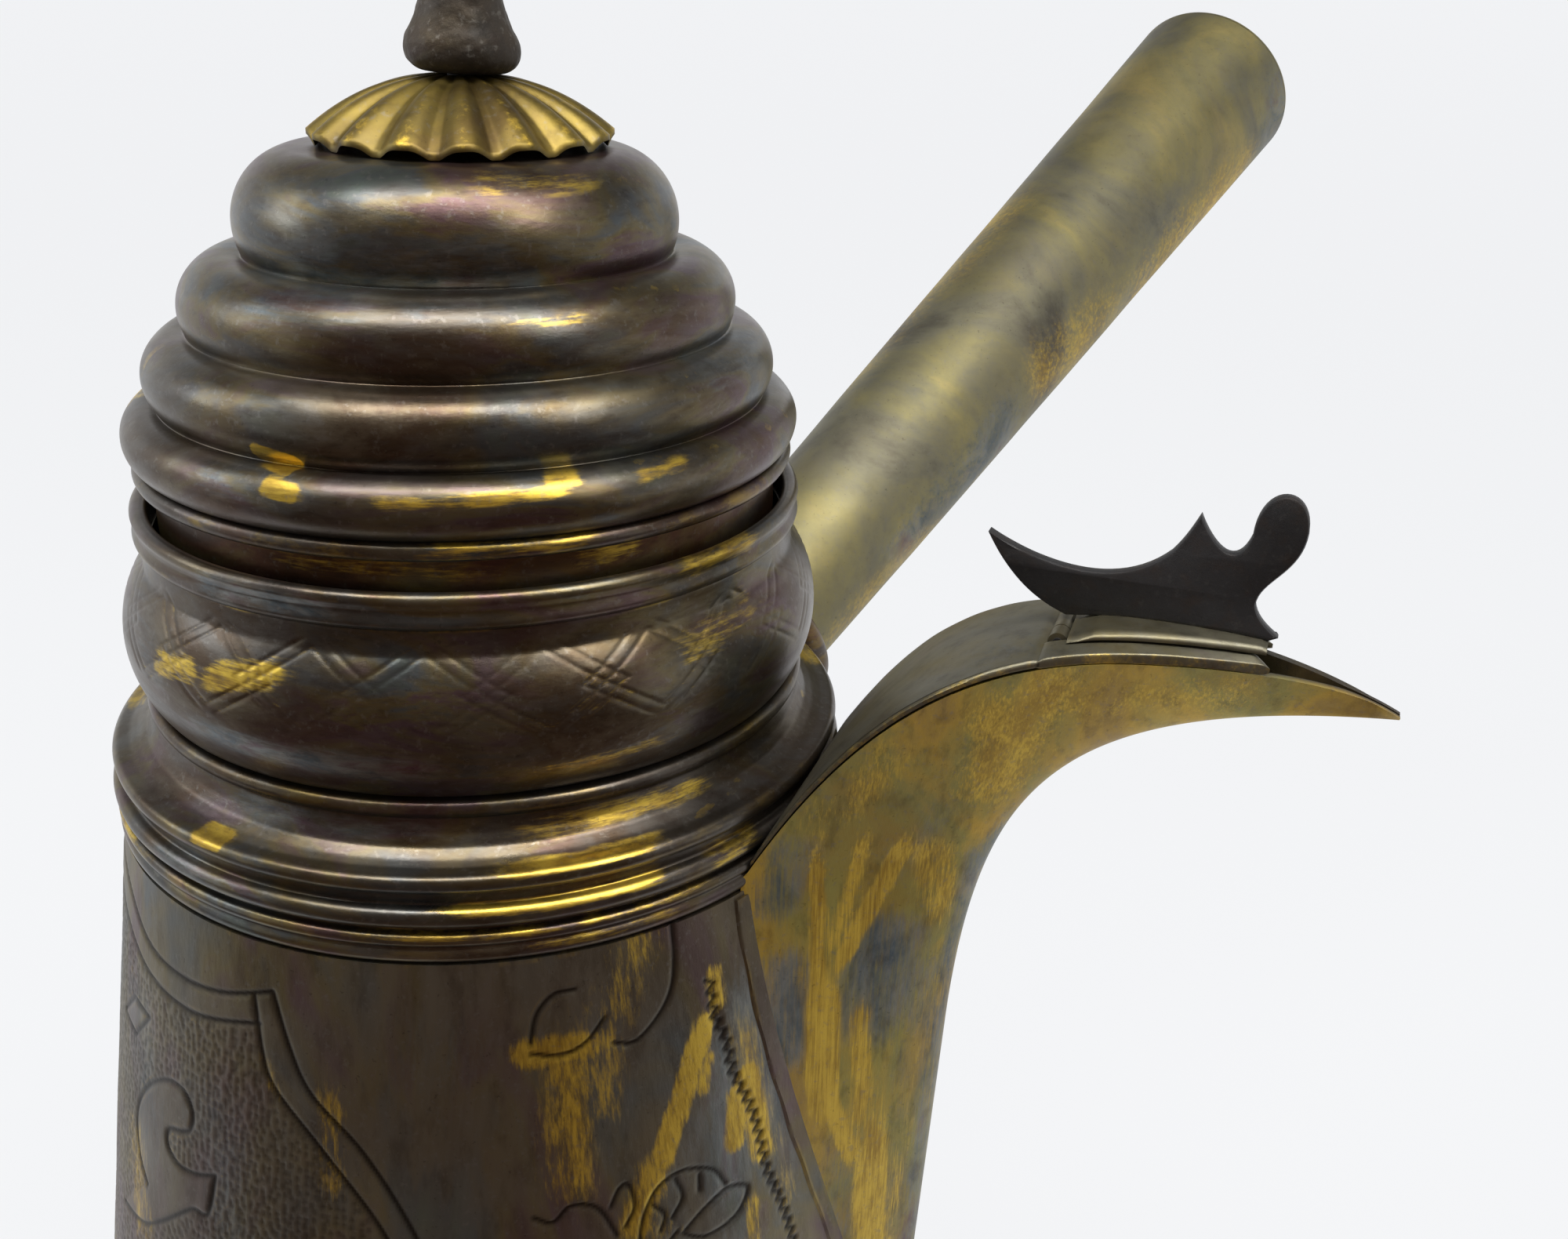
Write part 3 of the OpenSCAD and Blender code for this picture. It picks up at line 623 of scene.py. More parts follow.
# The spray beside the spout, as it lies on the side turned away from the handle
SPRAY = (((-57, 105.5), (-56, 108.5), (-53.6, 110.4), (-50.6, 110.6)),
         ((-57, 104.4), (-53.1, 103.8), (-49.6, 104.6), (-46.8, 106.8)),
         ((-35.7, 114.6), (-35.8, 111), (-36.7, 107.7), (-39, 105.2), (-42.6, 103.3), (-45.8, 103.8)),
         ((-58, 86.1), (-55.6, 85.2), (-53.4, 86.6), (-51, 86.4), (-49.2, 85.2), (-47.4, 82)),
         ((-47.9, 85.4), (-46.6, 87.2), (-45.3, 87.3), (-44.7, 84.6), (-46.2, 82.6)),
         ((-44.6, 79.6), (-43.6, 83), (-41.2, 85.8), (-37.4, 86.6), (-33, 85.2), (-31, 82.6)),
         ((-38.4, 79.2), (-34.6, 81), (-30.6, 81.9), (-27.4, 80.6), (-29.6, 78.2), (-34.6, 77.6),
          (-38.4, 79.2)),
         ((-44, 80), (-41.5, 78.6), (-39, 79.8)), ((-42.4, 84.2), (-40.6, 82.4), (-41.4, 80.6)),
         ((-38.6, 86), (-37.8, 83.6), (-39.6, 81.6)), ((-35, 85.2), (-35.2, 83.4)),
         ((-52, 80), (-48, 77), (-45.6, 72.6), (-45.2, 66), (-47, 58), (-46, 48), (-41, 38), (-36, 30)),
         ((-45.4, 68), (-40, 71.6), (-35, 71), (-32.6, 67.4), (-37.6, 64.6), (-43, 65.4), (-45.6, 63)),
         ((-46.6, 60), (-52, 62.4), (-57.6, 60.6), (-59.8, 56), (-54.6, 53.8), (-49.4, 55.2), (-46.6, 53)),
         ((-45.6, 47), (-39.6, 49.6), (-34.4, 47.4), (-33, 43), (-38, 40.6), (-42.6, 42.6), (-43.6, 41)))
# The edge of the engraving beside the spout
WALKED_LINE = ((-30.4, 107), (-30, 102.4), (-28.5, 99), (-28, 95.4), (-25.4, 89.8), (-24.4, 86),
               (-23.6, 81), (-21, 73.8), (-18.6, 62), (-16, 48), (-13, 30))
# Rubbed and blue-grey places: start angle and height, end angle and height, width, strength
BODY_WEAR = ((-51.4, 106, -53.6, 86, 3.2, 0.6), (-46.4, 108, -48.5, 94, 2.6, 0.48),
             (-32.0, 102.6, -41.6, 86.6, 1.5, 1.1), (-31.0, 103.6, -33.4, 98, 1.1, 1.0),
             (-31.6, 99.5, -33.4, 93.8, 1.1, 0.75), (-27.6, 92.4, -28.6, 87, 1.5, 0.8),
             (-25.4, 93.4, -24.0, 84, 1.9, 0.9), (-29.6, 107.4, -29.4, 104, 1.4, 0.7),
             (-41.6, 87.8, -44.4, 82.6, 2.4, 0.7), (-38.6, 117, -46.4, 107, 3.4, 0.46),
             (-57.4, 104.4, -49.2, 104.2, 1.9, 0.75), (-26.4, 80, -27.6, 72, 1.4, 0.6),
             (-83.5, 102, -84, 86, 1.8, 0.5), (-94.4, 103, -91.6, 97.4, 1.0, 0.5),
             (-124, 82, -121, 71, 4.2, 0.42), (-41, 80, -48, 68, 4.0, 0.46), (-27, 104, -20, 70, 3.0, 0.4),
             (60, 60, 66, 84, 5, 0.5), (120, 96, 128, 70, 5, 0.5), (165, 60, 160, 40, 6, 0.5),
             (-100, 40, -96, 22, 6, 0.5), (-30, 40, -34, 22, 6, 0.5), (30, 96, 34, 78, 4, 0.55))
BODY_COOL = ((-24, 108, -17, 74, 5.0, 0.8), (-40, 76, -28, 70, 6.0, 0.6), (-29.4, 96, -30.6, 84, 4.6, 0.75),
             (-31, 99, -30.4, 93, 3.0, 0.9), (-34, 90, -38, 86, 4.0, 0.6), (-122, 96, -121, 84, 8, 0.5),
             (-104, 92, -98, 76, 7, 0.45),
             (-69, 106, -72, 100, 6, 0.45), (-47.6, 98, -50, 92, 4.4, 0.5),
             (100, 100, 110, 60, 14, 0.5), (175, 90, 168, 50, 12, 0.5), (40, 60, 44, 30, 10, 0.5))
BODY_ROWS, BODY_COLUMNS = 345, 1100
CUT_DEPTH = 0.24
# A bearing that no figure crosses, where the angles jump by a full turn
PLAIN_BEARING = 152


def body_shell():
    """The conical sheet, with its engraving cut into the mesh."""
    heights = np.linspace(0, BODY_H, BODY_ROWS)
    outer = np.stack([cone_r(heights), heights], -1)
    inner = outer[::-(BODY_ROWS // 10)] - [SHEET, 0]
    grid = lathe_grid(np.vstack([outer, inner]), BODY_COLUMNS, hand_made(3, 0.1, 60))
    face = grid[:BODY_ROWS]
    angle = polar(face)[0]
    height = face[..., 2]
    tool = Engraver(np.where(angle > PLAIN_BEARING, angle - 360, angle), height, cone_r)
    cartouche(tool, CARTOUCHE_MIDDLE, 1.0)
    cartouche(tool, BACK_CARTOUCHE_MIDDLE, BACK_CARTOUCHE_STRETCH)
    for side in (1, -1):
        for figure in SPRAY:
            tool.line([(side * a, z) for a, z in figure], 0.3, 0.9)
        tool.zigzag([(side * a, z) for a, z in WALKED_LINE], 0.55, 1.5)
    depth = tool.cut * CUT_DEPTH + 0.03 * waves(5, angle, height * 2, size=30)
    face[..., :2] *= (1 - depth / cone_r(height))[..., None]
    u = np.radians(tool.angle) * cone_r(height)

    def painted(strokes):
        return marks(u, height, [(np.radians(a0) * cone_r(z0), z0, np.radians(a1) * cone_r(z1), z1, *brush)
                                 for a0, z0, a1, z1, *brush in strokes])

    def padded(values):
        """The values, and 0 on the inside of the sheet."""
        return np.concatenate([values, np.zeros((len(grid) - BODY_ROWS, BODY_COLUMNS))])

    layers = {"ink": padded(np.clip(tool.cut * 1.1, 0, 1)), "wear": padded(painted(BODY_WEAR)),
              "cool": padded(painted(BODY_COOL))}
    return ring_mesh("engraved_body", grid, attributes=layers, sharp=60)


place(body_shell(), "pot", "body_brass", "body_shell")


def turned(name, low, high, radius_at, inner, seed, columns=512, finish=None):
    """A turned ring whose outside is a function of height and whose inside is an outline."""
    z = np.arange(low, high, 0.12)
    outer = np.stack([radius_at(z), z], -1)
    outline = soften(resample(np.vstack([outer, inner]), 0.16), 2)
    grid = lathe_grid(outline, columns, hand_made(seed, 0.07))
    layers = finish(grid) if finish else None
    return ring_mesh(name, grid, attributes=layers)


def round_marks(grid, strokes):
    """marks() over the angle and height of a ring's points; widths are millimetres of height."""
    angle, radius = polar(grid)
    total = np.zeros(angle.shape)
    for a0, z0, a1, z1, *brush in strokes:
        u = np.radians((angle - a0 + 180) % 360 - 180) * radius
        run = np.radians(a1 - a0) * radius.max()
        total = np.maximum(total, marks(u, grid[..., 2], [(0, z0, run, z1, *brush)]))
    return total


SHOULDER = np.array([[40.2, BODY_H], [40.0, 121], [40.2, 122.2], [40.3, 123.4], [39.5, 124.2],
                     [38.3, 124.7], [37.2, 125.4], [36.4, 126.6], [36.0, 128], [GROOVE_R, GROOVE_Z]])
# Beads round the shoulder: distance of their middle from the axis, height, radius
BEADS = ((35.8, 129.0, 0.95), (40.1, 123.3, 0.95), (40.3, 119.7, 1.1), (40.5, 117.3, 0.75),
         (40.2, 115.65, 1.0))
SHOULDER_WEAR = ((-70, 120.5, -34, 120.6, 0.55, 0.85), (-62, 124.1, -36, 124.2, 0.45, 0.8),
                 (-84, 117.8, -26, 117.8, 0.45, 0.56), (-106, 124.1, -100, 124, 0.6, 1.3),
                 (-58, 126.4, -24, 126.6, 1.2, 0.5), (-30, 120, -18, 121, 1.6, 0.5),
                 (30, 124.4, 50, 124.4, 0.8, 0.7), (120, 120.2, 150, 120.2, 0.8, 0.7),
                 (-150, 117.6, -120, 117.6, 0.6, 0.6),
                 (180, 124.2, 210, 124.4, 0.6, 0.6), (-60, 116.2, -32, 116.2, 0.6, 0.5))
SHOULDER_COOL = ((-118, 120, -88, 119, 1.6, 0.7), (-110, 127, -70, 127, 1.4, 0.6),
                 (60, 126, 100, 126, 3, 0.6), (150, 120, 190, 122, 3, 0.6))


def shoulder_r(z):
    """The shoulder's outer radius: a smooth line with beads on it."""
    r = np.interp(z, SHOULDER[:, 1], SHOULDER[:, 0])
    for centre_r, centre_z, radius in BEADS:
        reach = np.sqrt(np.clip(radius ** 2 - (z - centre_z) ** 2, 0, None))
        r = np.maximum(r, np.where(reach > 0, centre_r + reach, 0))
    return r


def shoulder_layers(grid):
    return {"wear": round_marks(grid, SHOULDER_WEAR), "cool": round_marks(grid, SHOULDER_COOL)}


place(turned("turned_shoulder", BODY_H, GROOVE_Z, shoulder_r,
             [[GROOVE_R - SHEET, GROOVE_Z], [GROOVE_R - SHEET, 127], [TOP_R - SHEET, 122],
              [TOP_R - SHEET, BODY_H]], seed=11, finish=shoulder_layers),
      "pot", "spun_brass", "shoulder_ring")

COLLAR_BULGE = 11.5
COLLAR_MID = 137.0
COLLAR_BORE = 34.0
COLLAR_SIDE = np.array([[GROOVE_R, GROOVE_Z], [GROOVE_R + 1, 134], [35.3, 144], [34.9, 147.2]])
# The engraved band: its middle height, half its width, one zigzag's angle and where one starts
BAND_Z, BAND_SWING, BAND_PITCH, BAND_START = 141.3, 3.5, 35.0, -68.9
LINE_APART, LINE_WIDTH, LINE_DEPTH = 1.15, 0.19, 0.11
COLLAR_WEAR = ((-116, 139.6, -108, 140.4, 1.5, 0.7), (-106, 140.2, -90, 142.6, 1.5, 0.85),
               (-60, 133.4, -30, 133.8, 1.0, 0.42), (-28, 141.8, -14, 143.6, 2.0, 0.4),
               (70, 138, 96, 139, 1.6, 0.7), (150, 142, 170, 141, 1.2, 0.6))
COLLAR_COOL = ((-112, 134.4, -66, 134.2, 1.7, 0.9), (-128, 142, -116, 138, 3, 0.5),
               (100, 136, 140, 137, 3, 0.6))


def collar_r(z):
    """The collar's outer radius: a bulge between two necks."""
    side = np.interp(z, COLLAR_SIDE[:, 1], COLLAR_SIDE[:, 0])
    reach = np.sqrt(np.clip(COLLAR_BULGE ** 2 - (z - COLLAR_MID) ** 2, 0, None))
    return np.maximum(side, COLLAR_R - COLLAR_BULGE + reach)


def engrave_collar(grid):
    """Two crossing zigzags of double lines round the band, cut into the grid."""
    angle, radius = polar(grid)
    z = grid[..., 2]
    phase = ((angle - BAND_START) / BAND_PITCH) % 1
    swing = BAND_SWING * (4 * np.abs(phase - 0.5) - 1)
    slope = np.cos(np.arctan(4 * BAND_SWING / (np.radians(BAND_PITCH) * COLLAR_R)))
    cut = np.zeros(angle.shape)
    for sign in (1, -1):
        for inset in (0.0, LINE_APART):
            gap = (z - BAND_Z + sign * swing) * slope - inset * np.sign(z - BAND_Z)
            cut = np.maximum(cut, np.exp(-(gap / LINE_WIDTH) ** 2))
    cut *= np.clip((BAND_SWING + 0.9 - np.abs(z - BAND_Z)) * 2, 0, 1) * (radius > COLLAR_R - 4)
    cut *= np.clip(0.62 + 0.55 * waves(31, angle, 4 * z, size=60), 0, 1)
    grid[..., :2] *= (1 - LINE_DEPTH * cut / radius)[..., None]
    ink = 0.25 * cut * np.clip(waves(32, angle, size=50), 0, 1)
    return {"ink": ink, "wear": np.maximum(round_marks(grid, COLLAR_WEAR), 0.35 * cut),
            "cool": round_marks(grid, COLLAR_COOL)}


place(turned("engraved_collar", GROOVE_Z, LIP_LOW, collar_r,
             [[COLLAR_BORE, LIP_LOW], [COLLAR_BORE, GROOVE_Z]], seed=12, columns=1000,
             finish=engrave_collar), "pot", "spun_brass", "neck_collar")

LIP_WIDTH = 1.8
# Drawn in by this much, the hand-made waves stay inside the CAD box
LIP_SPARE = 0.05


def lip_roll():
    """The rolled lip on the mouth, with a soft step below it."""
    outer = box_mm("lip_roll")[1][0] - LIP_SPARE
    half = LIP_WIDTH / 2
    middle = outer - half
    outline = np.vstack([arc((middle, LIP_LOW + half), half, -90, 0, 6),
                         [[outer - 0.35, LIP_LOW + 1.9]],
                         arc((middle, LIP_TOP - half), half, 0, 180, 14), [[middle - half, LIP_LOW]]])
    grid = lathe_grid(soften(resample(outline, 0.12), 2), 640, hand_made(13, 0.12, 40))
    wear = round_marks(grid, ((-30, 150, -8, 150.4, 1.2, 0.6), (90, 150, 140, 150, 1, 0.6)))
    cool = round_marks(grid, ((-110, 149, -80, 149, 1.6, 0.8),))
    return ring_mesh("rolled_lip", grid, attributes={"wear": wear, "cool": cool})


place(lip_roll(), "pot", "spun_brass", "lip_roll")

# ---- Spout ----

SPOUT_SHEET = 1.0
# How far the channel's edges sink into the body
SINK = 0.4
FOLD_ROUND = 0.22
WALL_COLUMNS = 34
SEAM_TOP_Z = 117.0
# Where along the fold's curve the channel comes free of the body
FREE_T = 0.3
# Rubbed and blue-grey places on the wall turned away from the handle: x and z of both ends, width, strength
WALL_WEAR = ((44.6, 120, 45.6, 98, 0.8, 1.1), (53.8, 121, 46.4, 102, 1.0, 1.0),
             (49.6, 122, 46.0, 104, 0.9, 0.8), (45.8, 103, 46.2, 82, 1.6, 1.2),
             (46.2, 88, 49.8, 74, 1.1, 1.1), (49.4, 100, 49.8, 78, 1.3, 0.72),
             (50.8, 86, 51.6, 40, 1.9, 0.95), (55.0, 95, 55.4, 70, 1.4, 0.55),
             (57.3, 80, 56.8, 44, 0.9, 0.8), (53.4, 80, 53.8, 50, 1.4, 0.5),
             (61, 127, 64.5, 132.6, 4.6, 0.6), (68, 137, 84, 140.0, 3.4, 0.5),
             (56, 117, 57.6, 109, 3.0, 0.6), (62, 134.5, 70, 139.4, 4.6, 0.62),
             (45, 122, 52, 131, 3.0, 0.45))
WALL_COOL = ((51.4, 106, 51.0, 96, 4.6, 0.95), (55.4, 106, 55.6, 76, 3.0, 0.7),
             (58.2, 112, 57, 50, 1.6, 0.85), (41.6, 108, 42.4, 90, 3.4, 0.9),
             (52.6, 116, 57, 123, 2.6, 0.45), (48.4, 84, 48.0, 60, 2.6, 0.6),
             (53.6, 76, 53.4, 50, 2.0, 0.6), (43.0, 119, 41, 113, 3.0, 0.7),
             (59.6, 118, 58.4, 108, 1.4, 0.8))


def beak_w(x):
    """Half width of the beak, which narrows evenly to its tip."""
    return (TIP_X - x) * BEAK_SLOPE


def seam_w(z):
    """Half width of the spout where it meets the body."""
    k = (z - SPOUT_FOOT[1]) / (SEAM_TOP_Z - SPOUT_FOOT[1])
    return bez(np.array([[0.5], [6], [17.5], [15.6]]), k)[..., 0]


def seam_points(z, lift):
    """Points of the seam on the body, lifted off its surface."""
    w = seam_w(z)
    r = cone_r(np.minimum(z, BODY_H - 1.6)) + lift
    return np.stack([np.sqrt(r * r - w * w), w, z], -1)


def edge_at(t):
    """The channel's upper edge as x and z, seen from the side, for t from 0 to 1 at the tip."""
    t = np.asarray(t, float)
    low, high = bez(EDGE_LOW, np.clip(t / 0.6, 0, 1)), bez(EDGE_HIGH, np.clip((t - 0.6) / 0.4, 0, 1))
    return np.where((t < 0.6)[..., None], low, high)


def edge_z(x):
    """Height of the channel's upper edge at x."""
    t = np.linspace(0, 1, 600)
    e = edge_at(t)
    return np.interp(x, e[:, 0], e[:, 1])


def spout_stations():
    """Fold points [x, z] and edge points [x, half width, z] from the foot to the tip."""
    k = np.linspace(0, 1, 70)[:, None]
    low_fold = SPOUT_FOOT + (FOLD_LOW - SPOUT_FOOT) * k * 0.98
    low_edge = seam_points((SPOUT_FOOT[1] + (FOLD_LOW[1] - 2 - SPOUT_FOOT[1]) * k)[:, 0], -SINK)
    t = np.linspace(0, 1, 25)[1:]
    mid_fold = bez(FOLD_CURVE, FREE_T * t)
    mid_edge = seam_points(FOLD_LOW[1] - 2 + 24 * t, -SINK)
    t = np.linspace(0, 1, 111)[1:]
    top_fold = bez(FOLD_CURVE, FREE_T + (1 - FREE_T) * t)
    edge = edge_at(t)
    top_edge = np.stack([edge[:, 0], np.maximum(beak_w(edge[:, 0]), 0.75), edge[:, 1]], -1)
    return np.vstack([low_fold, mid_fold, top_fold]), np.vstack([low_edge, mid_edge, top_edge])


def wall_grid(inset):
    """The spout's sheet, from one edge round the fold to the other."""
    fold, edge = spout_stations()
    v = np.linspace(-1, 1, 2 * WALL_COLUMNS + 1)[None, :]
    blend = (np.sqrt(v * v + FOLD_ROUND ** 2) - FOLD_ROUND) / (np.sqrt(1 + FOLD_ROUND ** 2) - FOLD_ROUND)
    span = edge[:, [0, 2]] - fold
    run = np.maximum(np.linalg.norm(span, axis=1), 0.01)
    lift = span / run[:, None] * np.minimum(inset * 1.6, run * 0.45)[:, None]
    width = np.maximum(edge[:, 1] - inset * 1.04, edge[:, 1] * 0.25)
    x = fold[:, :1] + lift[:, :1] + (span[:, :1] - lift[:, :1]) * blend
    z = fold[:, 1:] + lift[:, 1:] + (span[:, 1:] - lift[:, 1:]) * blend
    y = width[:, None] * v * np.ones_like(x)
    y += 0.10 * waves(41, x, z, np.sign(v) * 9 * np.ones_like(x), size=26) * (1 - np.abs(2 * np.abs(v) - 1))
    return np.stack([x, y, z], -1)


def spout_channel():
    """The V-folded sheet, painted dark inside as painted shade, with a painted grey highlight in the
    blue-grey tone along its fold.
    """
    outer, inner = wall_grid(0), wall_grid(SPOUT_SHEET)
    x, y, z = outer[..., 0], outer[..., 1], outer[..., 2]
    near = y < 0
    fold, _ = spout_stations()
    at_fold = np.linalg.norm(outer[..., [0, 2]] - fold[:, None, :], axis=-1)
    # A painted highlight: the blue-grey tone laid along the rounded fold below the beak, where its nose
    # catches the light
    fold_highlight = 0.8 * np.clip(1.8 - at_fold / 1.2, 0, 1) * np.clip((128 - z) / 10, 0, 1)
    wear = np.where(near, marks(x, z, WALL_WEAR), marks(x + 3, z + 7, WALL_WEAR))
    cool = np.where(near, marks(x, z, WALL_COOL), marks(x - 2, z - 9, WALL_COOL))
    cool = np.maximum(cool, fold_highlight)
    v = np.linspace(-1, 1, x.shape[1])
    # Painted shade: the far wall's rim near the tip is darkened
    far_rim_shade = np.clip((v - 0.86) / 0.05, 0, 1) * np.clip((x - 82) / 2, 0, 1)
    layers = {"wear": wear * (1 - fold_highlight), "cool": cool, "ink": far_rim_shade}
    # The inside of the sheet is painted dark all over, a painted shade
    painted_shade_inside = {"wear": np.zeros(x.shape), "cool": np.zeros(x.shape), "ink": np.ones(x.shape)}
    return shell_mesh("folded_spout", outer, inner, layers, painted_shade_inside, sharp=50)


def spout_flange(side):
    """The spout's turned-out edge, soldered flat on the body."""
    z = np.linspace(SPOUT_FOOT[1] + 1.5, BODY_H - 0.5, 150)
    out = seam_points(z, 0.0)
    angle = np.arctan2(out[:, 1], out[:, 0])
    across = np.linspace(-0.9, 1.5, 9)
    height = 0.30 * np.clip((1.5 - across) * 3, 0, 1) ** 0.5
    radius = cone_r(z)[:, None] + height[None, :]
    a = angle[:, None] + (across * (1 + 0.06 * np.sin(z[:, None] * 0.7))) / radius
    top = np.stack([radius * np.cos(a), side * radius * np.sin(a), np.repeat(z[:, None], 9, 1)], -1)
    base = cone_r(z)[:, None] - 0.25 + 0 * a
    bottom = np.stack([base * np.cos(a), side * base * np.sin(a), top[..., 2]], -1)
    return shell_mesh("spout_flange_near" if side < 0 else "spout_flange_far", top, bottom)


place(spout_channel(), "pot", "spout_brass", "spout_channel")
for flange_side in (-1, 1):
    place(spout_flange(flange_side), "pot", "body_brass")

COVER_GAP, COVER_CROWN = 0.08, 0.8
# The cover starts on a cylinder of this radius round the neck
COVER_FOOT_R = 41.5
BARREL_R = 1.0
# Parts of the beak's half width: where the rails begin, and the flap's edge
RAIL_V, FLAP_V = 0.58, 0.72
COVER_END = HINGE_X - BARREL_R
FLAP_START, FLAP_END = HINGE_X + BARREL_R, 86.0
FLAP_T = 0.6


def cover_z(x, v):
    """Height of the cover's underside at part v of the beak's half width."""
    return edge_z(x) + COVER_GAP + COVER_CROWN * (1 - v * v)


def cover_start(v, r):
    """Where the cover's line at part v of its width meets a cylinder of radius r round the neck."""
    k = v * v * BEAK_SLOPE ** 2
    return (2 * TIP_X * k + np.sqrt((2 * TIP_X * k) ** 2 - 4 * (1 + k) * (k * TIP_X ** 2 - r * r))) / (
        2 * (1 + k))


def rounded(top, bottom, amount):
    """Draws the rim of a sheet in towards its middle, so its edges look rolled and worn."""
    rows, cols = top.shape[:2]
    middle = (top + bottom) / 2
    i, j = np.arange(rows), np.arange(cols)
    to_rim = np.minimum(np.minimum(i, rows - 1 - i)[:, None], np.minimum(j, cols - 1 - j)[None, :])
    pull = np.where(to_rim == 0, amount, np.where(to_rim == 1, amount * 0.35, 0.0))[..., None]
    return top + (middle - top) * pull, bottom + (middle - bottom) * pull


def top_plate(name, start, end, v0, v1, rows, cols, dents):
    """A crowned sheet on the beak, between two lines across it and two parts of its half width."""
    t = np.linspace(0, 1, rows)[:, None]
    inner = np.linspace(0, 1, cols - 4)
    even = np.concatenate([[0, 0.012, 0.03], inner[1:-1], [0.97, 0.988, 1]])
    v = (v0 + (v1 - v0) * even)[None, :]
    x = start(v) + (end(v) - start(v)) * t
    y = v * beak_w(x)
    z = cover_z(x, v)
    top = np.stack([x, y, z + SPOUT_SHEET + 0.05 * waves(dents, x, y, size=9)], -1)
    top, bottom = rounded(top, np.stack([x, y, z], -1), 0.55)
    edge = np.clip((np.abs(v) - 0.93) / 0.05, 0, 1) * np.ones_like(x) * 0.35
    cool = np.clip(0.5 + 0.5 * waves(dents + 1, x, y, size=14), 0, 1) * 0.5
    return shell_mesh(name, top, bottom, {"wear": edge, "cool": cool}, sharp=55)


def cover_foot(v):
    return cover_start(v, COVER_FOOT_R)


def cover_end(v):
    return COVER_END + 0 * v


def rail_start(v):
    """The rails begin a little way under the cover's end."""
    return COVER_END - 0.4 + 0 * v


def rail_end(v):
    return 83.5 + 3.0 * np.abs(v)


place(top_plate("spout_cover_plate", cover_foot, cover_end, -1, 1, rows=60, cols=60, dents=51),
      "pot", "spout_top_brass", "spout_cover")
place(top_plate("spout_rail_far", rail_start, rail_end, RAIL_V, 1, rows=60, cols=14, dents=54),
      "pot", "spout_top_brass")
place(top_plate("spout_rail_near", rail_start, rail_end, -1, -RAIL_V, rows=60, cols=14, dents=57),
      "pot", "spout_top_brass")


def flap_z(x, v):
    """Height of the flap's underside."""
    return edge_z(x) + COVER_GAP + COVER_CROWN + SPOUT_SHEET + 0.12 - 0.3 * v * v


def spout_flap():
    """The flap's plate, thin at its hinge and rolled down along its sides."""
    t = np.linspace(0, 1, 60)[:, None]
    inner = np.linspace(-1, 1, 40)
    even = np.concatenate([[-1, -0.985, -0.96], inner[1:-1], [0.96, 0.985, 1]])
    v = (FLAP_V * even)[None, :]
    x = FLAP_START + (FLAP_END - FLAP_START) * t + 0 * v
    y = v * beak_w(x)
    z = flap_z(x, v)
    roll = 0.35 * np.clip((np.abs(v) / FLAP_V - 0.8) / 0.2, 0, 1) ** 2
    low = z - 0.5 * roll
    taper = np.clip((x - FLAP_START) / 2.5, 0.25, 1)
    top = np.stack([x, y, low + FLAP_T * taper - 0.5 * roll + 0.03 * waves(61, x, y, size=8)], -1)
    top, bottom = rounded(top, np.stack([x, y, low], -1), 0.5)
    return shell_mesh("spout_flap_plate", top, bottom, sharp=55)


place(spout_flap(), "flap", "spout_top_brass", "spout_flap")


CREST_T = 1.5
CREST_TAIL = (58.0, 152.3)
CREST_SPIKE_FOOT, CREST_SPIKE = (75.9, 152.6), (78.2, 156.7)
CREST_HEAD_BACK, CREST_HEAD_FRONT = (83.1, 155.2), (88.1, 156.2)
CREST_CHIN = (84.3, 148.4)


def crest_outline():
    """Tail over the hinge, a spike, a round head, and a straight foot on the flap."""
    def run(points, steps):
        return bez(np.array(points, float), np.arange(steps) / steps)

    def foot(x):
        return flap_z(x, 0.0) + FLAP_T

    return np.vstack([
        run([CREST_TAIL, [63.5, 149.6], [71, 147.6], CREST_SPIKE_FOOT], 24),
        run([CREST_SPIKE_FOOT, [77, 154], [77.6, 155.4], CREST_SPIKE], 8),
        run([CREST_SPIKE, [79.3, 154.4], [81.8, 151], CREST_HEAD_BACK], 18),
        run([CREST_HEAD_BACK, [83.2, 160.7], [88, 160.8], CREST_HEAD_FRONT], 20),
        run([CREST_HEAD_FRONT, [88, 152], [84.4, 151], CREST_CHIN], 16),
        run([CREST_CHIN, [84.6, 146.8], [86, 145.9], [87.2, foot(FLAP_END) + 0.05]], 10),
        [[x, foot(x) - 0.1] for x in np.linspace(FLAP_END, FLAP_START + 0.4, 12)],
        run([[HINGE_X, foot(HINGE_X)], [63.4, 145.6], [60.4, 147.6], CREST_TAIL], 18)])


def polygon_area(points):
    """Area of a closed outline, above 0 if it runs anticlockwise."""
    after = np.roll(points, -1, 0)
    return 0.5 * float(np.sum(points[:, 0] * after[:, 1] - after[:, 0] * points[:, 1]))


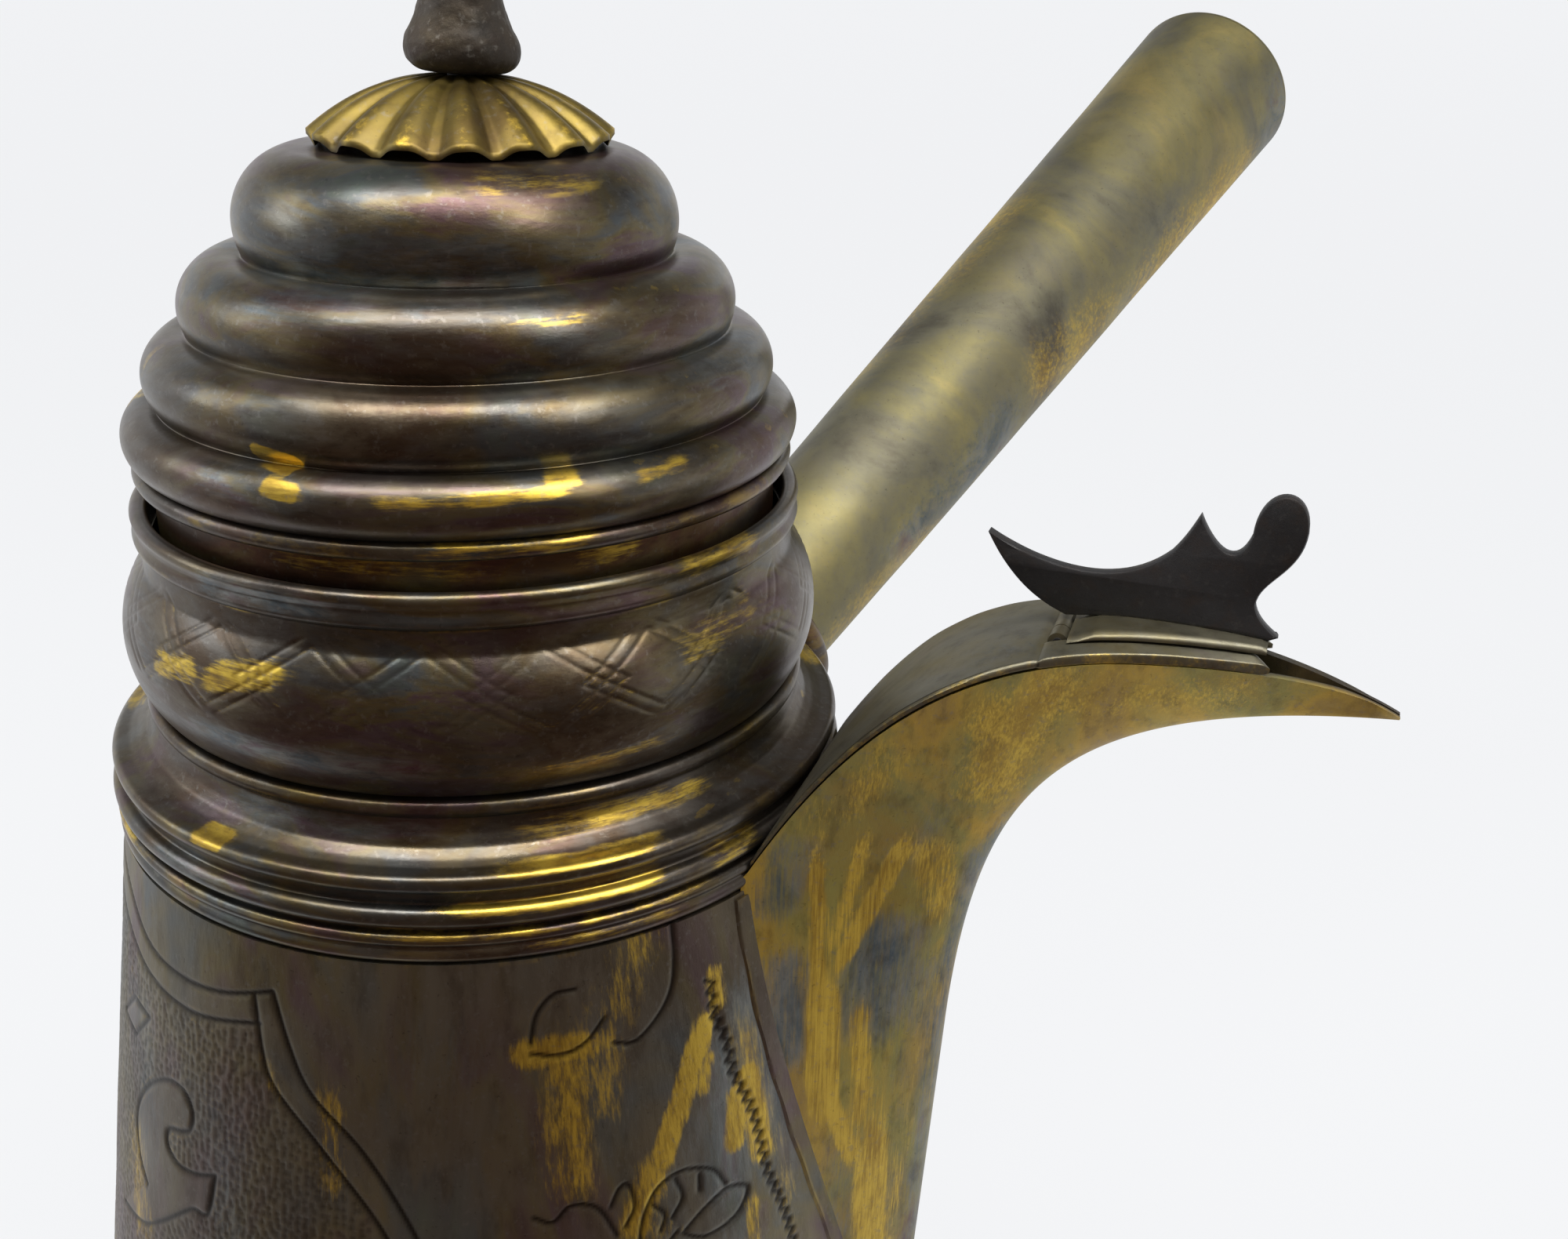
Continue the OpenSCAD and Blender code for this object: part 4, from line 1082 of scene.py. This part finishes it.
def flap_crest():
    """Plate cut to the outline, with filed edges."""
    outline = crest_outline()
    step = np.roll(outline, -1, 0) - np.roll(outline, 1, 0)
    normal = np.stack([-step[:, 1], step[:, 0]], -1) / np.linalg.norm(step, axis=1)[:, None]
    inward = normal * np.sign(polygon_area(outline))
    room = np.clip(np.linalg.norm(outline - CREST_TAIL, axis=1) / 6, 0.1, 1)[:, None]
    half = CREST_T / 2
    layers = ((half, 0.3), (half - 0.08, 0.12), (half - 0.3, 0.0), (0.3 - half, 0.0), (0.08 - half, 0.12),
              (-half, 0.3))
    loops = []
    for y, inset in layers:
        flat = outline + inward * inset * room
        loops.append(np.stack([flat[:, 0], np.full(len(flat), y), flat[:, 1]], -1))
    count = len(outline)
    cap = [tuple(c) for c in tessellate_polygon([[Vector((x, z, 0)) for x, _, z in loops[0]]])]
    last = (len(layers) - 1) * count
    faces = [tuple(int(i) for i in quad) for quad in grid_quads(len(layers), count, False, True)]
    faces += cap + [(a + last, c + last, b + last) for a, b, c in cap]
    mesh = bpy.data.meshes.new("crest")
    mesh.from_pydata((np.concatenate(loops) * MM).tolist(), [], faces)
    work = bmesh.new()
    work.from_mesh(mesh)
    bmesh.ops.recalc_face_normals(work, faces=work.faces)
    work.to_mesh(mesh)
    work.free()
    mesh.polygons.foreach_set("use_smooth", np.ones(len(mesh.polygons), bool))
    mesh.set_sharp_from_angle(angle=np.radians(35))
    item = bpy.data.objects.new("crest_plate", mesh)
    bpy.context.scene.collection.objects.link(item)
    return item


place(flap_crest(), "flap", "dark_iron", "flap_crest")

# ---- Handle ----


def on_handle(points):
    """Turns points standing on the z axis onto the handle's line."""
    return leaned(points, 90 - HANDLE_RISE, HANDLE_TURN, lift=HANDLE_Z)


def handle_r(s):
    """The tube's outer radius at distance s along the handle's line."""
    return HANDLE_ROOT_R + (HANDLE_END_R - HANDLE_ROOT_R) / (HANDLE_END - HANDLE_ROOT) * (s - HANDLE_ROOT)


def pot_r(z):
    """Outer radius of body, shoulder and collar at any height."""
    r = np.where(z < BODY_H, cone_r(z), shoulder_r(np.clip(z, BODY_H, GROOVE_Z)))
    return np.where(z > GROOVE_Z, COLLAR_R, r)


HANDLE_MEAN_R = 13
# Rubbed and blue-grey places: distance and angle of the start, the same of the end, width, strength
HANDLE_WEAR = ((150, -60, 184, -50, 9, 0.62), (118, -90, 140, -70, 7, 0.5), (60, -70, 84, -60, 5, 0.4),
               (90, 120, 150, 140, 9, 0.5), (160, 20, 190, 60, 8, 0.5))
HANDLE_COOL = ((70, -80, 112, -84, 6, 0.8), (60, -40, 80, -50, 5, 0.6), (186, -40, 200, -90, 7, 0.7),
               (100, 60, 130, 20, 9, 0.6), (140, -20, 196, -30, 5, 0.7))


def handle_tube():
    """The tapering tube, fitted to the pot's outside at its root."""
    columns, rows, inner_rows = 160, 240, 12
    a = np.linspace(0, 2 * np.pi, columns, endpoint=False)[None, :]

    def surface(s, r):
        return on_handle(np.stack([r * np.cos(a), r * np.sin(a), s], -1))

    def start(inset):
        """Where the tube's outside, or its bore, leaves the pot, found by halving."""
        low, high = np.full((1, columns), 30.0), np.full((1, columns), 90.0)
        for _ in range(40):
            s = (low + high) / 2
            p = surface(s, handle_r(s) - inset)
            out = np.hypot(p[..., 0], p[..., 1]) > pot_r(p[..., 2]) - 0.1
            low, high = np.where(out, low, s), np.where(out, s, high)
        return high

    def stations(inset, count):
        return start(inset) + (HANDLE_END - start(inset)) * np.linspace(0, 1, count)[:, None]

    outer_s = stations(0, rows)
    dents = 0.14 * waves(71, outer_s, 9 * np.cos(a), 9 * np.sin(a), size=60)
    outer = surface(outer_s, handle_r(outer_s) + np.minimum(dents, 0.0))
    inner_s = stations(SHEET, inner_rows)[::-1]
    inner = surface(inner_s, handle_r(inner_s) - SHEET)
    grid = np.concatenate([outer, inner])
    around = np.degrees(a) - 360 * (np.degrees(a) > 180)
    v = np.radians(around) * HANDLE_MEAN_R + 0 * outer_s

    def painted(strokes):
        flat = [(s0, np.radians(a0) * HANDLE_MEAN_R, s1, np.radians(a1) * HANDLE_MEAN_R, *brush)
                for s0, a0, s1, a1, *brush in strokes]
        return np.concatenate([marks(outer_s, v, flat), np.zeros((inner_rows, columns))])

    return ring_mesh("handle_sheet", grid,
                     attributes={"wear": painted(HANDLE_WEAR), "cool": painted(HANDLE_COOL)})


place(handle_tube(), "pot", "handle_brass", "handle_tube")

# ---- Lid ----


def outer_meet(first, second):
    """Where two of the lid's bulges meet on the outside."""
    c0, c1 = np.array(first[:2]), np.array(second[:2])
    gap = np.linalg.norm(c1 - c0)
    along = (first[2] ** 2 - second[2] ** 2 + gap ** 2) / (2 * gap)
    side = np.sqrt(first[2] ** 2 - along ** 2)
    unit = (c1 - c0) / gap
    options = [c0 + along * unit + side * k * np.array([-unit[1], unit[0]]) for k in (1, -1)]
    return max(options, key=lambda p: p[0])


def angle_to(ring, point):
    return np.degrees(np.arctan2(point[1] - ring[1], point[0] - ring[0]))


def lid_outline():
    """Section through the dome: four bulges outside, and softer ones inside."""
    meets = [outer_meet(a, b) for a, b in zip(LID_RINGS, LID_RINGS[1:])]
    top = [[2.0, CROWN_Z + 0.6]]
    starts = [78.0] + [angle_to(r, m) for r, m in zip(LID_RINGS[1:], meets)]
    foot = np.array([SKIRT_R + 0.05, 0])
    last = LID_RINGS[-1]
    foot[1] = last[1] - np.sqrt(last[2] ** 2 - (foot[0] - last[0]) ** 2)
    ends = [angle_to(r, m) for r, m in zip(LID_RINGS, meets)] + [angle_to(last, foot)]
    outer = [arc(r[:2], r[2], a, b, 40) for r, a, b in zip(LID_RINGS, starts, ends)]
    inner = [arc(r[:2], r[2] - SHEET, -45, 55, 12) for r in reversed(LID_RINGS)]
    return np.vstack([top, *outer, [[foot[0], SKIRT_TOP]], *inner, [[2.0, CROWN_Z + 0.6 - SHEET]]])


LID_WEAR = ((-76, 159.4, -60, 159.6, 0.6, 0.6), (-64, 159.6, -46, 159.9, 0.6, 0.85),
            (-96, 162.2, -90, 161.6, 0.8, 1.4), (-93, 160, -86, 159.6, 0.8, 1.2),
            (-36, 160, -24, 160.4, 0.7, 0.6), (-50, 160.6, -44, 160.6, 0.6, 0.8),
            (-60, 184.9, -34, 184.4, 1.2, 0.42), (-58, 173.4, -40, 173.8, 0.8, 0.4),
            (60, 160, 90, 160.4, 1, 0.6), (150, 166, 170, 166, 1.2, 0.6),
            (200, 160.4, 214, 160.4, 0.9, 0.6))
LID_COOL = ((-100, 175, -70, 178, 4, 0.55), (-110, 160, -80, 159, 2, 0.5), (-20, 168, 10, 168, 3, 0.5),
            (100, 175, 140, 170, 5, 0.6))


def lid_dome():
    """The spun sheet dome."""
    grid = lathe_grid(soften(resample(lid_outline(), 0.22), 3), 640, hand_made(21, 0.15, 46))
    return ring_mesh("ringed_lid", grid, attributes={
        "wear": round_marks(grid, LID_WEAR), "cool": round_marks(grid, LID_COOL)})


place(lid_dome(), "lid", "spun_brass", "lid_dome")


def lid_bead():
    """The bead round the lid's lower edge, a nearly full round."""
    low, high = box_mm("lid_bead")
    half = (high[2] - low[2]) / 2 - 0.02
    centre = (high[0] - half - 0.02, (low[2] + high[2]) / 2)
    grid = lathe_grid(arc(centre, half, 0, 345, 24), 512, hand_made(22, 0.1, 46))
    wear = round_marks(grid, ((-72, 155, -40, 155, 1.2, 0.62), (50, 155, 100, 155, 1.2, 0.6)))
    return ring_mesh("lid_edge_bead", grid, attributes={"wear": wear})


place(lid_bead(), "lid", "spun_brass", "lid_bead")


def lid_skirt():
    """The plain band that pushes into the neck."""
    z = np.linspace(SKIRT_Z, SKIRT_TOP, 110)
    outer = np.stack([np.full(z.shape, SKIRT_R - 0.12), z], -1)
    inner_z = np.linspace(SKIRT_TOP, SKIRT_Z, 12)
    inner = np.stack([np.full(inner_z.shape, SKIRT_R - 1.0), inner_z], -1)
    grid = lathe_grid(np.vstack([outer, inner]), 512, hand_made(23, 0.08, 40))
    wear = round_marks(grid, ((-100, 152.6, -56, 152.2, 1.4, 0.42), (-46, 152.4, -32, 153, 1.6, 0.6),
                              (20, 152, 80, 152, 1.4, 0.6), (120, 146, 220, 146, 2, 0.5)))
    return ring_mesh("lid_skirt_band", grid, attributes={"wear": wear})


place(lid_skirt(), "lid", "worn_brass", "lid_skirt")

# ---- Rosette and finial ----

ROSETTE_R, ROSETTE_TOP, ROSETTE_DROP, ROSETTE_T = 15.1, 6.8, 5.7, 0.5


def on_crown(points, lean=0.0):
    """Moves points from the lid's centre to the finial's foot, leaned if asked."""
    return leaned(points, lean, FINIAL_BEARING, FINIAL_SHIFT, CROWN_Z)


def rosette():
    """A pressed sheet gathered into flutes, closed top and bottom."""
    columns = FLUTES * 30
    a = np.linspace(0, 2 * np.pi, columns, endpoint=False)[None, :]
    r = np.linspace(2.3, ROSETTE_R, 46)[:, None]
    k = r / ROSETTE_R
    wave = np.cos(FLUTES * a + 0.25 * waves(81, 3 * np.cos(a), 3 * np.sin(a), size=4))
    crease = wave - 0.22 * np.cos(2 * FLUTES * a)
    depth = 0.5 * np.clip((k - 0.12) / 0.88, 0, 1) ** 0.8
    reach = r + 0.35 * wave * k + 0.06 * waves(82, 8 * np.cos(a), 8 * np.sin(a), size=9) * k
    z = ROSETTE_TOP - ROSETTE_DROP * k ** 2.3 + depth * np.clip(crease, -1, 1.1)
    top = np.stack([reach * np.cos(a), reach * np.sin(a), z], -1)
    grid = on_crown(np.concatenate([top, (top - [0, 0, ROSETTE_T])[::-1]]))
    valley = np.clip(wave, 0, 1) * k
    wear = np.concatenate([np.clip(wave, 0, 1) * 0.45 * k, np.zeros(z.shape)])
    # Darker in the troughs of the flutes towards the middle on the top; the whole underside is painted
    # dark, a painted shade
    ink = np.concatenate([0.35 * (1 - valley) * (1 - k), np.full(z.shape, 0.6)])
    return ring_mesh("fluted_rosette", grid, attributes={"wear": wear, "ink": ink}, sharp=60)


place(rosette(), "lid", "rosette_brass", "rosette")


def finial():
    """Rough cast spire over a round bulb."""
    low = ROSETTE_TOP + 0.06
    bulb = low + 2.25
    outline = np.vstack([
        [[1.6, low], [4.3, low + 0.1], [4.9, low + 0.35]], arc((2.6, bulb), 3.3, -20, 25, 10),
        [[5.2, bulb + 2.0], [4.3, bulb + 4.4], [3.7, bulb + 7], [2.6, bulb + 11]],
        arc((1.4, bulb + 13.4), 2.9, -50, 50, 10),
        [[2.4, bulb + 16.2], [1.8, bulb + 18.6], [2.5, bulb + 21.5], [2.3, bulb + 23.5],
         [1.3, bulb + 26.5], [0.25, low + 30.7], [0.05, low + 30.8], [0.05, low + 8], [1.6, low + 7.5]]])
    smooth = soften(resample(outline, 0.2), 6)

    def rough(a, r, z):
        x, y = r * np.cos(a), r * np.sin(a)
        pits = 0.12 * waves(91, x, y, z, size=7) + 0.06 * waves(92, x, y, z, size=2)
        return np.clip(r / 2, 0, 1) * (pits - 0.12)

    grid = on_crown(lathe_grid(smooth, 220, rough), FINIAL_LEAN)
    # Darker at its foot, over the lowest 1.4 mm where it meets the rosette
    foot = np.clip(1 - (grid[..., 2] - CROWN_Z - low) / 1.4, 0, 1)
    return ring_mesh("cast_finial", grid, attributes={"ink": foot * 0.8})


place(finial(), "lid", "cast_bronze", "finial")

# ---- Camera, light and floor ----

CAMERA_AT = (84.75, -146.79, 205.7)
CAMERA_YAW, CAMERA_PITCH, CAMERA_ROLL = -18.17, 23.35, -1.43
FILM_WIDTH = 36.0
FOCAL_LENGTH = 36.0
AHEAD = np.array([np.sin(np.radians(CAMERA_YAW)), np.cos(np.radians(CAMERA_YAW)), 0])
FLOOR_HALF = 60000.0
FLOOR_GLOW = 0.87
PALE = (0.97, 0.98, 1.0)
CARD_NEAR, CARD_FAR, CARD_HALF, CARD_TOP = 75, 430, 620, 900
# Name, place, what it points at, size, watts and colour
LIGHTS = (("overhead", (42, -126, 600), (0, 0, 150), (640, 150), 4.4, (1.0, 0.98, 0.94)),
          ("window", (330, -120, 480), (0, 0, 150), (90, 200), 0.7, (1.0, 0.97, 0.9)),
          ("left_fill", (-420, -160, 380), (0, 0, 120), (200, 260), 0.7, (0.9, 0.95, 1.0)))


def camera():
    """The camera at the photograph's view, turned on all three axes."""
    yaw, pitch, roll = (np.radians(v) for v in (CAMERA_YAW, CAMERA_PITCH, CAMERA_ROLL))
    forward = np.array([np.sin(yaw) * np.cos(pitch), np.cos(yaw) * np.cos(pitch), -np.sin(pitch)])
    right = np.array([np.cos(yaw), -np.sin(yaw), 0])
    down = np.cross(forward, right)
    across = np.cos(roll) * right + np.sin(roll) * down
    lower = -np.sin(roll) * right + np.cos(roll) * down
    data = bpy.data.cameras.new("camera")
    data.sensor_width = FILM_WIDTH
    data.lens = FOCAL_LENGTH
    data.clip_start = 0.01
    item = bpy.data.objects.new("camera", data)
    axes = np.stack([across, -lower, -forward], 1)
    item.matrix_world = Matrix.Translation(Vector(CAMERA_AT) * MM) @ Matrix(axes.tolist()).to_4x4()
    bpy.context.scene.collection.objects.link(item)
    bpy.context.scene.camera = item


def area_light(name, at, toward, size, power, colour):
    """A rectangular light; places and sizes are millimetres and power is in watts."""
    data = bpy.data.lights.new(name, "AREA")
    data.shape = "RECTANGLE"
    data.size, data.size_y = (v * MM for v in size)
    data.energy = power
    data.color = colour
    item = bpy.data.objects.new(name, data)
    direction = Vector(toward) - Vector(at)
    item.matrix_world = (Matrix.Translation(Vector(at) * MM)
                         @ direction.to_track_quat("-Z", "Y").to_matrix().to_4x4())
    bpy.context.scene.collection.objects.link(item)


def plane(name, corners, colour, glow=0.0):
    """A flat card or floor that isn't part of the pot."""
    mesh = bpy.data.meshes.new(name)
    mesh.from_pydata((np.array(corners, float) * MM).tolist(), [], [(0, 1, 2, 3)])
    item = bpy.data.objects.new(name, mesh)
    bpy.context.scene.collection.objects.link(item)
    s = Shader(name)
    s.bsdf.inputs["Emission Color"].default_value = (*PALE, 1)
    s.bsdf.inputs["Emission Strength"].default_value = glow
    s.bsdf.inputs["Specular IOR Level"].default_value = 0.1
    mesh.materials.append(s.finish(colour, 0.9, 0.0))
    return item


def floor():
    half = FLOOR_HALF
    corners = [[-half, -half, 0], [half, -half, 0], [half, half, 0], [-half, half, 0]]
    plane("floor", corners, (0.05, 0.05, 0.05), FLOOR_GLOW)


def dark_cards():
    """Cards in front of the pot that the metal mirrors, as the dark side of a room.

    One stands behind the camera and one lies on the floor; the camera sees neither.
    """
    side = np.array([AHEAD[1], -AHEAD[0], 0]) * CARD_HALF
    near, far = -AHEAD * CARD_NEAR, -AHEAD * CARD_FAR
    up, lift = np.array([0, 0, CARD_TOP]), np.array([0, 0, 0.5])
    standing = plane("standing_card", [far - side, far + side, far + side + up, far - side + up], UMBER)
    lying = plane("lying_card", [near - side + lift, near + side + lift, far + side + lift,
                                 far - side + lift], UMBER)
    for card in (standing, lying):
        card.visible_camera = False
        card.visible_shadow = False
        card.visible_diffuse = False


def world():
    """White near the horizon, as the backdrop is, and dim overhead."""
    scene = bpy.context.scene
    scene.world = bpy.data.worlds.new("studio")
    scene.world.use_nodes = True
    tree = scene.world.node_tree
    direction = tree.nodes.new("ShaderNodeTexCoord").outputs["Generated"]
    split = tree.nodes.new("ShaderNodeSeparateXYZ")
    ramp = tree.nodes.new("ShaderNodeValToRGB")
    tree.links.new(direction, split.inputs[0])
    tree.links.new(split.outputs["Z"], ramp.inputs["Fac"])
    tree.links.new(ramp.outputs[0], tree.nodes["Background"].inputs["Color"])
    stops = ramp.color_ramp.elements
    stops[0].position, stops[0].color = 0.2, (0.88, 0.89, 0.905, 1)
    stops[1].position, stops[1].color = 0.62, (0.10, 0.105, 0.12, 1)
    scene.view_settings.view_transform = "Standard"


camera()
floor()
dark_cards()
world()
for light in LIGHTS:
    area_light(*light)

# The CAD nodes that show as they are
slot_of = {p["node"]: p["material_slot"] for p in frame["record"]["subparts"]}
for node, piece in frame["nodes"].items():
    if not piece.hide_render:
        piece.data.materials.clear()
        piece.data.materials.append(materials[slot_of[node]])
